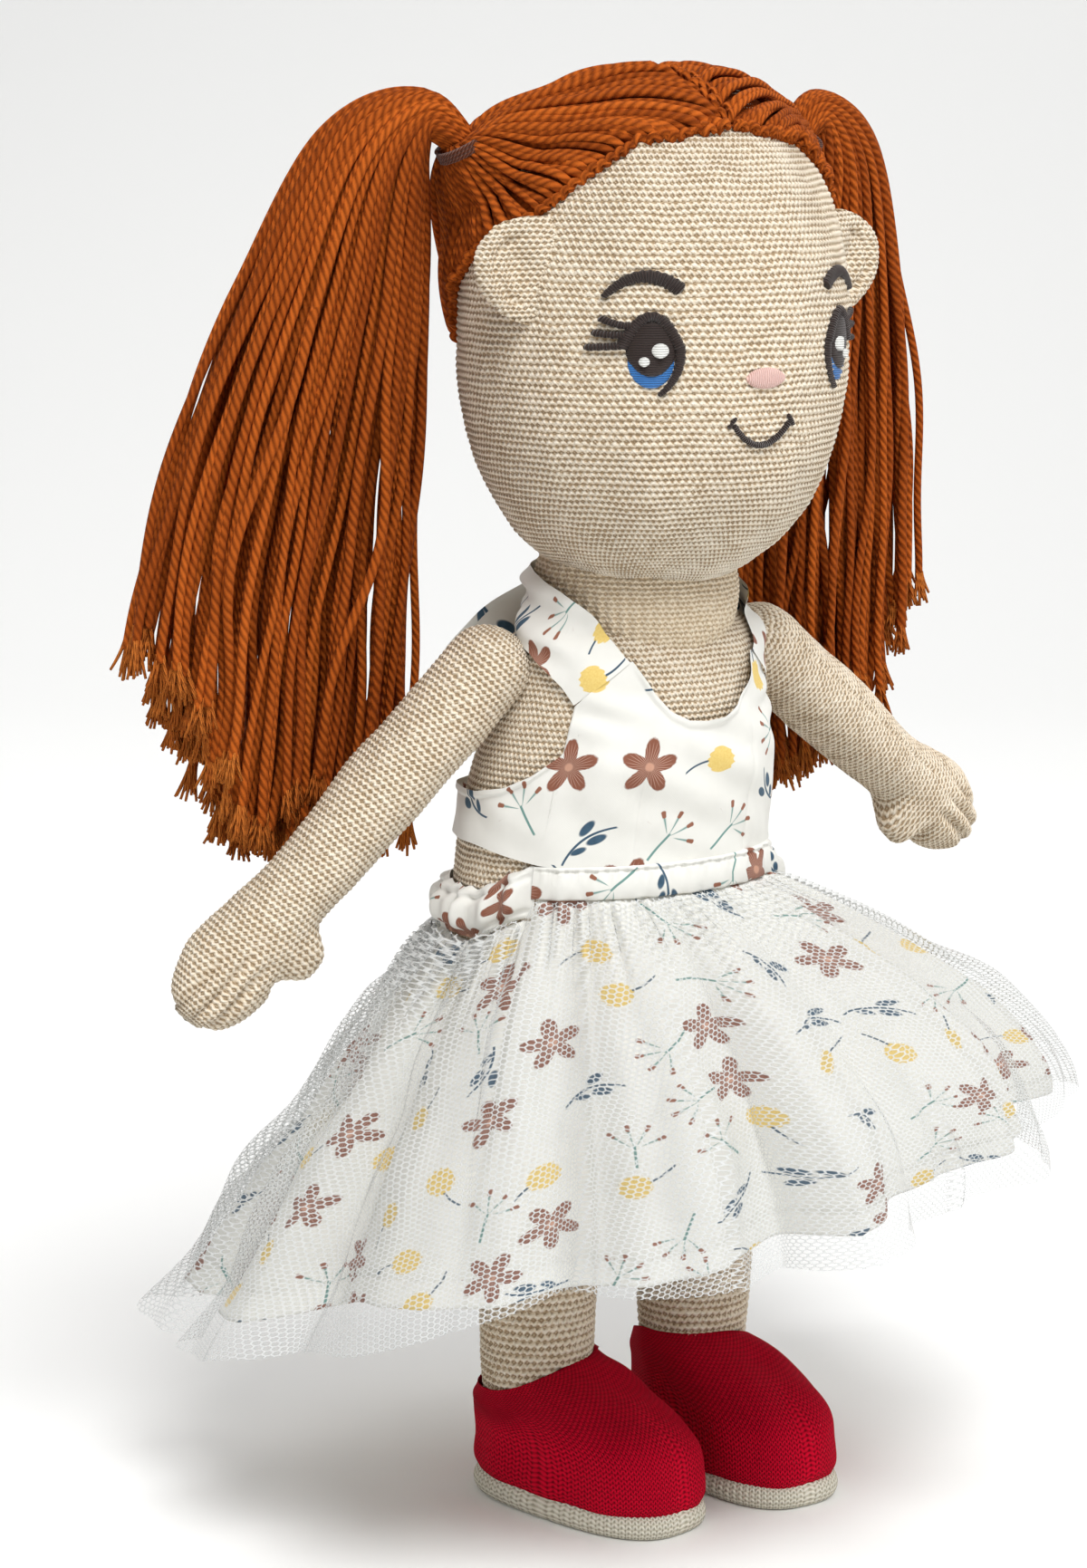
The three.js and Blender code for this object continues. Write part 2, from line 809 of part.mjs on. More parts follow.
function makeEar(side, tag) {
  const flap = new THREE.SphereGeometry(1, 12, 8)
    .scale(earReach, earThickness / 2, earHalfHeight)
    .rotateZ(side > 0 ? earSweep - Math.PI / 2 : Math.PI / 2 - earSweep + Math.PI);
  const root = onHead(side * earRoot, earHeight, 0);
  const ear = placed(flap, root.x, root.y, root.z);
  const seated = cut(ear, headSolid(sewnGap), hairSolid(side, sewnGap));
  add(`ear_${tag}`, largest(seated), knitYarn);
}

// Face: thread patches lying on the head, cut to outlines seen from the front

function threadPatch(outline, out = sewnGap) {
  const layer = cut(headSolid(out + threadThickness), headSolid(out));
  return layer.intersect(frontCut(outline, -headForward - farAway, -headForward));
}

function ovalShape(x, z, halfWidth, halfHeight) {
  const shape = new THREE.Shape();
  shape.absellipse(x, z, halfWidth, halfHeight, 0, 2 * Math.PI, false, 0);
  return shape;
}

// A curved stroke through three points, with its own width at each
function strokeShape(points, widths) {
  const curve = new THREE.QuadraticBezierCurve(
    ...points.map(([x, z]) => new THREE.Vector2(x, z)),
  );
  const steps = 6;
  const edge = (sign) =>
    Array.from({ length: steps + 1 }, (_, i) => {
      const t = i / steps;
      const width = widths[0] * (1 - t) ** 2 + widths[1] * 2 * t * (1 - t) + widths[2] * t * t;
      const tangent = curve.getTangent(t);
      return curve
        .getPoint(t)
        .add(new THREE.Vector2(-tangent.y, tangent.x).multiplyScalar((sign * width) / 2));
    });
  return new THREE.Shape([...edge(1), ...edge(-1).reverse()]);
}

const eyeSide = headHalfDepth * Math.sin(eyeTurn);
// Where each lash leaves the lid, as a share of the lid's line, and how steeply it rises
const lashShares = [
  [0.03, -0.1],
  [0.13, 0.1],
  [0.24, 0.35],
];

function makeEye(side, tag) {
  const middle = side * eyeSide;
  const outer = middle + side * eyeHalfWidth;
  const inner = middle - side * eyeHalfWidth;
  const lidTop = eyeHeight + eyeHalfHeight * 1.1;
  const lidEnd = eyeHeight + eyeHalfHeight * 0.15;
  const lidPoints = [
    [outer, lidEnd],
    [middle, lidTop * 2 - lidEnd],
    [inner, lidEnd],
  ];
  const lid = strokeShape(lidPoints, [lidThickness, lidThickness, lidThickness]);
  const lidCurve = new THREE.QuadraticBezierCurve(
    ...lidPoints.map(([x, z]) => new THREE.Vector2(x, z)),
  );
  const lashes = lashShares.map(([along, rise]) => {
    const root = lidCurve.getPoint(along);
    const tip = root.x + side * (lidThickness / 2 + lashLength);
    return strokeShape(
      [
        [root.x, root.y],
        [(root.x + tip) / 2, root.y],
        [tip, root.y + lashLength * rise],
      ],
      [lashThickness, lashThickness, lashThickness / 2],
    );
  });
  const lidPatch = join(threadPatch(lid), ...lashes.map((lash) => threadPatch(lash)));
  add(`lid_and_lashes_${tag}`, lidPatch, darkThread);

  const under = sewnGap * 2 + lidThickness;
  const eyeBall = ovalShape(
    middle,
    eyeHeight - under / 2,
    eyeHalfWidth - lidThickness / 2 - sewnGap,
    eyeHalfHeight - under / 2,
  );
  const crescentTop = ovalShape(
    middle,
    eyeHeight - under / 2 + eyeHalfHeight / 3,
    eyeHalfWidth,
    eyeHalfHeight - under / 2,
  );
  const pupilTop = ovalShape(
    middle,
    eyeHeight - under / 2 + eyeHalfHeight / 3 + sewnGap,
    eyeHalfWidth,
    eyeHalfHeight - under / 2,
  );
  const front = (shape) => frontCut(shape, -headForward - farAway, -headForward);
  const roomWidth = lidThickness + 2 * sewnGap;
  const lidRoom = front(strokeShape(lidPoints, [roomWidth, roomWidth, roomWidth]));
  const eye = cut(threadPatch(eyeBall), lidRoom);
  const glints = [
    [highlightRadius, middle - side * eyeHalfWidth * 0.28, eyeHeight + eyeHalfHeight * 0.1],
    [smallHighlightRadius, middle + side * eyeHalfWidth * 0.22, eyeHeight - eyeHalfHeight * 0.2],
  ];
  const glintRooms = glints.map(([radius, x, z]) =>
    front(ovalShape(x, z, radius + sewnGap, radius + sewnGap)),
  );
  add(`pupil_${tag}`, largest(cut(eye.intersect(front(pupilTop)), ...glintRooms)), darkThread);
  add(`iris_crescent_${tag}`, largest(cut(eye, front(crescentTop))), blueThread);
  glints.forEach(([radius, x, z], i) => {
    const glint = threadPatch(ovalShape(x, z, radius, radius));
    add(`eye_highlight_${i + 1}_${tag}`, glint, whiteThread);
  });

  const brow = strokeShape(
    [
      [middle + side * browHalfLength, browHeight - browRise],
      [middle + side * browHalfLength * 0.2, browHeight + browRise * 2],
      [middle - side * browHalfLength * 0.75, browHeight - browRise / 2],
    ],
    [browThickness / 3, browThickness, browThickness],
  );
  add(`brow_${tag}`, threadPatch(brow), darkThread);
}

function makeNoseAndMouth() {
  add("nose", threadPatch(ovalShape(0, noseHeight, noseHalfWidth, noseHalfHeight)), pinkThread);
  const smile = strokeShape(
    [
      [-mouthHalfWidth, mouthHeight],
      [0, mouthHeight - mouthDrop * 2],
      [mouthHalfWidth, mouthHeight],
    ],
    [mouthThickness, mouthThickness, mouthThickness],
  );
  add("mouth", threadPatch(smile), darkThread);
}

// Dress bodice: cloth that follows the torso and the neck, cut to a halter

function clothLayer() {
  const outer = clothGap + clothThickness;
  const outside = join(torsoSolid(outer), neckSocket(neckClothGap + clothThickness));
  const room = SIDES.map(([side]) => socket(armRadius + jointGap, ...shoulder(side)));
  return cut(outside, torsoSolid(clothGap), neckSocket(neckClothGap), ...room);
}

// Shares of the torso's half-width and of the bodice's height for one half of the bib
const bibShares = [
  [0, 0.8],
  [0.19, 1.08],
  [0.33, 1.3],
  [0.4, 1.6],
  [0.4, 2.2],
  [0.66, 2.2],
  [0.68, 1.32],
  [0.69, 1.08],
  [0.67, 0.8],
  [0.76, 0.6],
  [0.95, 0.42],
  [1.6, 0.38],
];

function bibOutline() {
  const half = bibShares.map(([across, up]) => [
    torsoHalfWidth * across,
    bandBottom + bibRise * up,
  ]);
  const corner = [torsoHalfWidth * 1.6, bandBottom];
  const outline = [...half, corner];
  return shapeOf([...outline, ...outline.reverse().map(([x, z]) => [-x, z])]);
}

// The slab between two sloping planes in which the neck straps lie
function strapSlab(low, high) {
  const slope = Math.atan2(strapBackHeight - strapFrontHeight, 2 * neckRadius);
  const slab = new THREE.BoxGeometry(2 * farAway, 2 * farAway, high - low)
    .translate(0, 0, (high + low) / 2)
    .rotateX(slope);
  return placed(slab, 0, -neckForward, (strapFrontHeight + strapBackHeight) / 2);
}

function makeBodice() {
  const layer = clothLayer();
  const front = frontCut(bibOutline(), -farAway, 0);
  const back = block(-farAway, farAway, 0, farAway, bandBottom, bandTop);
  const strapHalf = strapWidth / 2;
  const above = strapSlab(-strapHalf - sewnGap, farAway);
  add("bodice", largest(cut(layer.intersect(join(front, back)), above)), cotton);

  const region = join(front, block(-farAway, farAway, 0, farAway, bandTop, farAway * 2));
  const ribbon = layer.intersect(region).intersect(strapSlab(-strapHalf, strapHalf));
  SIDES.forEach(([side, tag]) => {
    const reach = knotHalfWidth + 2 * sewnGap;
    const half = block(
      side > 0 ? reach : -farAway,
      side > 0 ? farAway : -reach,
      -farAway,
      farAway,
      0,
      farAway * 2,
    );
    add(`neck_strap_${tag}`, largest(ribbon.intersect(half)), cotton);
  });

  const loopShares = [
    [0.1, 0.06],
    [0.45, 0.34],
    [0.85, 0.4],
    [1, 0.12],
    [0.96, -0.16],
    [0.6, -0.2],
    [0.22, -0.08],
  ];
  const tailShares = [
    [0, 0.1],
    [0.25, 0.1],
    [0.46, -0.66],
    [0.26, -0.74],
    [0, -0.1],
  ];
  const bowFront = neckRadius - neckForward + neckClothGap + clothThickness + jointGap;
  const wing = (shares, side) => {
    const points = shares.map(([across, up]) => [
      side * bowHalfWidth * across,
      bowHeight + bowHalfWidth * up,
    ]);
    return frontCut(shapeOf(side > 0 ? points : points.reverse()), bowFront, bowFront + bowThickness);
  };
  const knot = placed(
    new THREE.SphereGeometry(knotHalfWidth, 12, 8),
    0,
    bowFront + knotHalfWidth - sewnGap,
    bowHeight,
  );
  const wings = SIDES.flatMap(([side]) => [wing(loopShares, side), wing(tailShares, side)]);
  const seat = clothGap + clothThickness + sewnGap;
  const bow = cut(join(knot, ...wings), neckSocket(neckClothGap), torsoSolid(seat));
  add("neck_bow", bow, cotton);
}

// Waist: a flat band in front and a gathered casing round the sides and back.
// Both are arcs swept round the torso; a turn is counted from the front.

function torsoWaist(turn, out, z) {
  const share = (z - torsoBottom) / (torsoTop - torsoBottom);
  const rows = torsoShares.findIndex(([up]) => up >= share);
  const [up0, w0, d0, l0] = torsoShares[rows - 1];
  const [up1, w1, d1, l1] = torsoShares[rows];
  const mix = (share - up0) / (up1 - up0);
  const width = torsoHalfWidth * (w0 + (w1 - w0) * mix) + out;
  const depth = torsoHalfDepth * (d0 + (d1 - d0) * mix) + out;
  const lean = l0 + (l1 - l0) * mix;
  const y = torsoBack - (torsoLean + torsoBack) * lean;
  return new THREE.Vector3(width * Math.sin(turn), y - depth * Math.cos(turn), z);
}

const fromFront = (turn) => Math.abs(Math.atan2(Math.sin(turn), Math.cos(turn)));
const waistDrop = (turn) =>
  casingDrop * THREE.MathUtils.smoothstep(fromFront(turn), waistbandTurn, waistbandTurn * 1.5);

// An arc with a box section; section gives [out, z] corners at a turn
function arc(from, to, steps, section) {
  const rings = Array.from({ length: steps + 1 }, (_, i) => {
    const turn = from + ((to - from) * i) / steps;
    return section(turn, i).map(([out, z]) => torsoWaist(turn, out, z));
  });
  return solidOf(skin([ringMiddle(rings[0]), ...rings, ringMiddle(rings.at(-1))]));
}

const waistbandTop = bandBottom - sewnGap;
const waistbandBottom = waistbandTop - waistbandHeight;

function makeWaist() {
  const inner = waistGap;
  const outer = inner + waistbandThickness;
  const band = arc(-waistbandTurn, waistbandTurn, 14, () => [
    [inner, waistbandBottom],
    [outer, waistbandBottom],
    [outer, waistbandTop],
    [inner, waistbandTop],
  ]);
  add("front_waistband", band, cotton);

  const gapTurn = sewnGap / torsoHalfDepth;
  const from = waistbandTurn + gapTurn;
  const to = 2 * Math.PI - from;
  const steps = 30;
  const top = waistbandTop - sewnGap;
  const middleHeight = (turn) => top - waistDrop(turn) - casingHeight / 2;
  const casing = arc(from, to, steps, (turn, i) => {
    const puff = casingThickness * (i % 2 === 0 ? 1 : 0.72);
    const level = middleHeight(turn);
    return [
      [inner, level - casingHeight / 2],
      [inner + puff, level - casingHeight / 4],
      [inner + puff, level + casingHeight / 4],
      [inner, level + casingHeight / 2],
    ];
  });
  const tunnel = (grow, start, end) =>
    arc(start, end, steps, (turn) => {
      const near = inner + (casingThickness - elasticThickness) / 3 - grow;
      const far = near + elasticThickness + 2 * grow;
      const half = elasticHeight / 2 + grow;
      const level = middleHeight(turn);
      return [
        [near, level - half],
        [far, level - half],
        [far, level + half],
        [near, level + half],
      ];
    });
  add("gathered_casing", cut(casing, tunnel(sewnGap, from - gapTurn, to + gapTurn)), cotton);
  add("waist_elastic", tunnel(0, from, to), elasticWeb);
}

// Skirts: two gathered layers with the same long folds

function skirtTop(turn) {
  const toCasing = THREE.MathUtils.smoothstep(
    fromFront(turn),
    waistbandTurn * 0.6,
    waistbandTurn * 0.9,
  );
  const step = (casingHeight - waistbandHeight + 2 * sewnGap) * toCasing;
  return waistbandBottom - sewnGap - step - waistDrop(turn);
}

// A point of the skirt: t runs from 0 at the waist to 1 at the hem
function skirtPoint(turn, t, out) {
  const lifted = Math.cos(turn - Math.PI / 2 - liftTurn);
  const side = (1 + lifted) / 2;
  const flare = t * (1 - side) + (1 - Math.max(0, 1 - t) ** 1.9) * side;
  const top = skirtTop(turn);
  const waist = torsoWaist(turn, waistGap + out, top);
  const radius = skirtHemRadius + out;
  const hem = new THREE.Vector3(
    radius * Math.sin(turn),
    -radius * Math.cos(turn) - skirtHemForward,
    skirtHemHeight + skirtHemLift * lifted,
  );
  const point = waist.clone().lerp(hem, flare);
  point.z = top + (hem.z - top) * t;
  const wave = Math.cos(skirtFolds * turn + Math.sin(3 * turn)) * skirtFoldDepth;
  const depth = wave * Math.sqrt(Math.min(t, 1));
  return point.add(new THREE.Vector3(Math.sin(turn) * depth, -Math.cos(turn) * depth, 0));
}

const hemLevels = [0, 0.08, 0.22, 0.42, 0.68, 1];
const netLevels = [...hemLevels, 1 + netBeyondHem / (waistbandBottom - skirtHemHeight)];

function skirtLayer(out, levels) {
  const columns = skirtFolds * 4;
  const ring = (t, offset) =>
    Array.from({ length: columns }, (_, k) => skirtPoint((k / columns) * 2 * Math.PI, t, offset));
  const outside = levels.map((t) => ring(t, out + clothThickness));
  const inside = levels.map((t) => ring(t, out)).reverse();
  return skin([...outside, ...inside], true);
}

function makeSkirts() {
  add("cotton_skirt", skirtLayer(0, hemLevels), cotton);
  add("net_overskirt", skirtLayer(clothThickness + netGap, netLevels), net);
}

makeTorso();
makeNeck();
makeHead();
SIDES.forEach(([side, tag]) => {
  makeArm(side, tag);
  makeLeg(side, tag);
  makeShoe(side, tag);
  makeEar(side, tag);
  makeEye(side, tag);
  makeHair(side, tag);
  makePigtail(side, tag);
});
makeNoseAndMouth();
makeBodice();
makeWaist();
makeSkirts();

doll.position.x = -bodyAside;

export default doll;
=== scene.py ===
"""The looks of the knitted doll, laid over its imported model.

Every length is in millimetres until a mesh is made. A surface is a grid of points that numpy works
out from a formula. It goes round by turn, which is 0 at the front and grows towards the doll's left.
"""

import math

import bpy
import numpy as np
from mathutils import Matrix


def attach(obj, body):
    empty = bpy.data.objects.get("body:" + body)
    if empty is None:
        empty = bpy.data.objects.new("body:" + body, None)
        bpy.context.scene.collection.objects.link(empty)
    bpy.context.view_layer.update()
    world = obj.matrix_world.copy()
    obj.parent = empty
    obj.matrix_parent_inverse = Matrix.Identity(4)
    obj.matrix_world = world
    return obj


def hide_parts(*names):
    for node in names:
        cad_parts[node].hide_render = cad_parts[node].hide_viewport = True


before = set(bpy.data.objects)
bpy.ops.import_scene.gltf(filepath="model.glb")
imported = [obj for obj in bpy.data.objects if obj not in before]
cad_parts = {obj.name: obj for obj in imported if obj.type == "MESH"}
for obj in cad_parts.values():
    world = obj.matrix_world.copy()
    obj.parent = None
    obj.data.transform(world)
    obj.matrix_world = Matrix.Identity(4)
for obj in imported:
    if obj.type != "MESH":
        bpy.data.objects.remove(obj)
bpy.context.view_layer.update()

MM = 0.001
TAU = 2 * math.pi
SIDES = ((-1, "r"), (1, "l"))
UPWARD = np.array([0, 0, 1])
BOTH_ENDS = (True, True)

# The body stands this far to the right of the middle of the whole
BODY_ASIDE = 7.3

# Neck and head. A squareness of 2 gives an ellipse, and more than 2 a squarer oval
NECK_CENTRE = np.array([0, -9, 229])
NECK_RADIUS = 25
NECK_HALF_HEIGHT = 17
NECK_RIBS = 52
NECK_RIB_DEPTH = 0.25
HEAD_CENTRE = NECK_CENTRE + [0, -7, 63.5]
HEAD_HALF = np.array([48, 47, 61.5])
HEAD_SQUARENESS = 2.3

# Torso
TORSO_BOTTOM = 121
TORSO_TOP = 226.5
TORSO_HALF_WIDTH = 43
TORSO_HALF_DEPTH = 32
TORSO_BACK = 3
TORSO_LEAN = 9
TORSO_MIDDLE = 175
TORSO_STITCHES = 130

# Limbs. A name that ends in DOWN is a way down the arm from its shoulder
ARM_RADIUS = 10.5
ARM_LENGTH = 112
ARM_DEPTH_SHARE = 0.95
ARM_SPREAD = {"r": math.radians(43), "l": math.radians(57)}
ARM_SWEEP = {"r": math.radians(15), "l": math.radians(17)}
ARM_STITCHES = 38
ELBOW_DOWN = 50
WRIST_DOWN = 78
THUMB_DOWN = 82
THUMB_WIDTH = 6.5
THUMB_REACH = 6.2
CLEFT_DOWN = 92
CLEFT_DEPTH = 1.2
FINGER_ROOT_DOWN = 86
FINGER_END_DOWN = 97
FINGER_WIDTH = 5.2
FINGER_DENT = 1.9
SEAM_DEPTH = 0.7
SHOULDER = np.array([40.5, -4, 212])
LEG_RADIUS = 16
LEG_BOTTOM = 8.4
LEG_STITCHES = 50
HIP = np.array([24, 0, 120])

# Shoes
SHOE_HALF_LENGTH = 33.5
SHOE_HALF_WIDTH = 17.4
SHOE_FORWARD = 18
SHOE_HEIGHT = 36
SHOE_MIDDLE = 15
SHOE_SUNK = 0.4
SHOE_STITCHES = 96
TOE_IN = {"r": math.radians(12), "l": 0.0}
SHOE_SQUARENESS = 2.8
SHOE_RIM_DROP = 8
SHOE_ROLL = 0.7
ANKLE_RADIUS = 15.4
SOLE_THICKNESS = 6.3
SOLE_EDGE = 1.8
SOLE_RIBS = 75
SOLE_RIB_DEPTH = 0.18

# Hair
TIE_OUT = 49
TIE_TURN = math.radians(100)
TIE_HEIGHT = HEAD_CENTRE[2] + 46.5
TIE_RADIUS = 6
TIE_THREAD = 0.6
TIE_WINDINGS = 3.2
TIE_PITCH = 0.85
TIE_BACK = 2.6
ROOT_HEIGHT = TIE_HEIGHT - 17
HAIR_THICKNESS = 4.2
PIGTAIL_DROP = 150
PIGTAIL_HALF_WIDTH = 36
PIGTAIL_HALF_DEPTH = 13
PIGTAIL_WIDTH_SHARE = {"r": 1.0, "l": 0.93}
PIGTAIL_END = {"r": 173, "l": 180}
PIGTAIL_FLARE = 48
PIGTAIL_EDGE = (86, 120)
YARN_RADIUS = 1.15
YARN_PITCH = 2.6
STRAND_SWAY = 2.1
ROOM_OVER_ARM = 7
TUFT_FIBRES = 10
TUFT_LENGTHS = (6.5, 9.5)
TUFT_FLARE = 2.5

# Ears
EAR_HEIGHT = HEAD_CENTRE[2] + 16.5
EAR_TURN = math.radians(70)
EAR_SWEEP = math.radians(105)
EAR_REACH = 15
EAR_HALF_HEIGHT = 12.5
EAR_THICKNESS = 7
EAR_HOLLOW = 4.2
EAR_FOLD = 1.5

# Face
EYE_TURN = math.radians(35)
EYE_HEIGHT = HEAD_CENTRE[2] - 2.5
EYE_HALF_WIDTH = 5.7
EYE_HALF_HEIGHT = 7.9
LID_THICKNESS = 2.4
LASH_LENGTH = 6.4
BROW_HEIGHT = EYE_HEIGHT + 16
BROW_HALF_LENGTH = 8.6
BROW_RISE = 3
BROW_THICKNESS = 3.4
NOSE_HEIGHT = EYE_HEIGHT - 6
NOSE_HALF_WIDTH = 5.4
NOSE_HALF_HEIGHT = 2.5
MOUTH_HEIGHT = NOSE_HEIGHT - 10.4
MOUTH_HALF_WIDTH = 8.2
MOUTH_DROP = 5.4
MOUTH_THICKNESS = 1.5
THREAD_WIDTH = 0.55

# Yarns, print and net
FIBRE_SIZE = 0.3
FINE_FIBRE_SIZE = 0.25
THREADS_PER_MM = 3.1
MOTIF_SPACING = 17
MOTIF_SIZE = 1.25
NET_CELL = 1.45
NET_THREAD_SHARE = 0.1

# Dress
BAND_BOTTOM = 164.5
BIB_RISE = 49
BODICE_TWIST = math.radians(5)
BODICE_MIDDLE = np.array([0, 0, 190])
BUST_HEIGHT = 188
BUST_REACH = 2.1
UNDER_BUST_HEIGHT = 184
ARMHOLE_HEIGHT = 201
EDGE_RADIUS = 30
CLOTH_RADIUS = 36
WAISTBAND_TURN = math.radians(55)
WAISTBAND_HEIGHT = 8
WAISTBAND_THICKNESS = 1.8
WAISTBAND_TOP = BAND_BOTTOM - 0.3
WAISTBAND_BOTTOM = WAISTBAND_TOP - WAISTBAND_HEIGHT
WAISTBAND_STITCH = 2.6
WAIST_GAP = 0.8
CASING_DROP = 6.5
CASING_HEIGHT = 12.5
CASING_THICKNESS = 4
PLEAT_DEPTH = 1.3
CLOTH_OUT = 1.1
BOW_HEIGHT = NECK_CENTRE[2] - 1
BOW_HALF_WIDTH = 34
BOW_DROOP = 0.72
TAIL_DROP = 26
KNOT_HALF = (4.6, 3.6, 5.2)
SKIRT_RADIUS = 105
SKIRT_FORWARD = 0.9
SKIRT_MIDDLE = np.array([0, 0, 110])
HEM_HEIGHT = 77.5
HEM_LIFT = 24
LIFT_TURN = math.radians(-38)
FOLDS = 12
FOLD_DEPTH = 6
RIDGE_DEPTH = 2.4
GATHER_DEPTH = 1.3
DENT_DEPTH = 1.3
HEM_STITCH = 2.4
HEM_GAP = 0.6
HEM_ROWS = 7
NET_OUT = 2.4
SKIRT_LENGTH = 110
FLAT_WAIST = 73
FLAT_TURN = 0.573

# Knit: the width of a stitch on the head, and the height of a row
HEAD_STITCH = 1.95
HEAD_ROW = 1.6
BODY_ROW = 1.6
ARM_ROW = 1.5
LEG_ROW = 1.9
NECK_ROW = 1.25
SHOE_ROW = 1.25
SOLE_ROW = 1.3

# Fineness of the meshes: the way between two rows, and the points round
SPACING = 0.5
HEAD_SPACING = 0.44
ARM_SPACING = 0.42
SHOE_SPACING = 0.45
SOLE_SPACING = 0.35
STRAND_SPACING = 1.5
HEAD_COLUMNS = 300
NECK_COLUMNS = 312
TORSO_COLUMNS = 200
ARM_COLUMNS = 140
LEG_COLUMNS = 150
SHOE_COLUMNS = 220
SOLE_COLUMNS = 300
SKIRT_COLUMNS = 720
SKIRT_ROWS = 80

# The camera stands this far round from the front
CAMERA_TURN = math.radians(-34)


# Paths and surfaces


def smooth_path(rows, steps):
    """A Catmull-Rom curve through the rows, with this many steps between each two."""
    rows = np.asarray(rows, float)
    held = np.vstack([2 * rows[:1] - rows[1:2], rows, 2 * rows[-1:] - rows[-2:-1]])
    t = np.linspace(0, len(rows) - 1, steps * (len(rows) - 1) + 1)
    k = np.minimum(t.astype(int), len(rows) - 2)
    s = (t - k)[:, None]
    a, b, c, d = (held[k + i] for i in range(4))
    straight = 2 * b + (c - a) * s
    return (straight + (2 * a - 5 * b + 4 * c - d) * s**2 + (3 * b - a - 3 * c + d) * s**3) / 2


def evenly(rows, spacing, columns=slice(0, 3)):
    """The same rows resampled at even spacing by length, with the length at each."""
    steps = np.linalg.norm(np.diff(rows[:, columns], axis=0), axis=1)
    length = np.concatenate([[0], np.cumsum(steps)])
    at = np.linspace(0, length[-1], max(2, int(round(length[-1] / spacing)) + 1))
    return np.stack([np.interp(at, length, column) for column in rows.T], axis=1), at


def unit(vectors):
    """The same directions, each of length 1."""
    return vectors / np.maximum(np.linalg.norm(vectors, axis=-1, keepdims=True), 1e-9)


def smooth_step(low, high, x):
    """Rises from 0 at low to 1 at high and is level at both: 3 t squared minus 2 t cubed."""
    t = np.clip((x - low) / (high - low), 0, 1)
    return t * t * (3 - 2 * t)


def bell(x, width):
    """A bump, 1 high at 0: e to the power of minus the square of x over its width."""
    return np.exp(-((x / width) ** 2))


def stacked(*values):
    """One grid of points or marks from a grid for each coordinate."""
    return np.stack(np.broadcast_arrays(*values), axis=-1)


def lumps(points, size, seed):
    """Smooth bumps from about -1 to 1: waves of about this length in seeded directions."""
    chance = np.random.default_rng(seed)
    directions = unit(chance.normal(size=(9, 3))) * chance.uniform(0.7, 1.5, (9, 1)) * TAU / size
    return np.sin(points @ directions.T + chance.uniform(0, TAU, 9)).sum(axis=-1) / 4


def outward(grid, inside):
    """Unit normals of a wrapped grid, pointing away from the inside point."""
    around = np.roll(grid, -1, axis=1) - np.roll(grid, 1, axis=1)
    normal = unit(np.cross(around, np.gradient(grid, axis=0)))
    away = np.sum(normal * (grid - inside), axis=-1).mean()
    return normal if away > 0 else -normal


def rings(stations, columns, squareness=2):
    """Level rings round the stations, each a row of x, y, z, half-width and half-depth."""
    turn = np.linspace(0, TAU, columns, endpoint=False)
    bowed = [np.sign(v) * np.abs(v) ** (2 / squareness) for v in (np.sin(turn), -np.cos(turn))]
    x = stations[:, None, 0] + stations[:, None, 3] * bowed[0]
    y = stations[:, None, 1] + stations[:, None, 4] * bowed[1]
    return stacked(x, y, stations[:, None, 2])


def stitch_marks(along, columns, stitches, row):
    """Places on a wrapped grid, counted in stitches across and rows up."""
    across = np.linspace(0, stitches, columns + 1)
    return stacked(across[None, :], (along / row)[:, None])


def knitted(grid, marks, inside, depth, lump=0.8, seed=1):
    """Raises the rows of a knit, and the lumps of its stuffing, on a wrapped grid."""
    up = marks[:, :-1, 1]
    across = marks[:, :-1, 0]
    slip = 0.12 * np.sin(TAU * across + math.pi * np.floor(up))
    crest = 0.5 - 0.5 * np.cos(TAU * (up + slip))
    uneven = lumps(grid, 26, seed) * lump + lumps(grid, 9, seed + 1) * lump / 4
    return grid + outward(grid, inside) * (depth * (crest - 0.7) + uneven)[..., None]


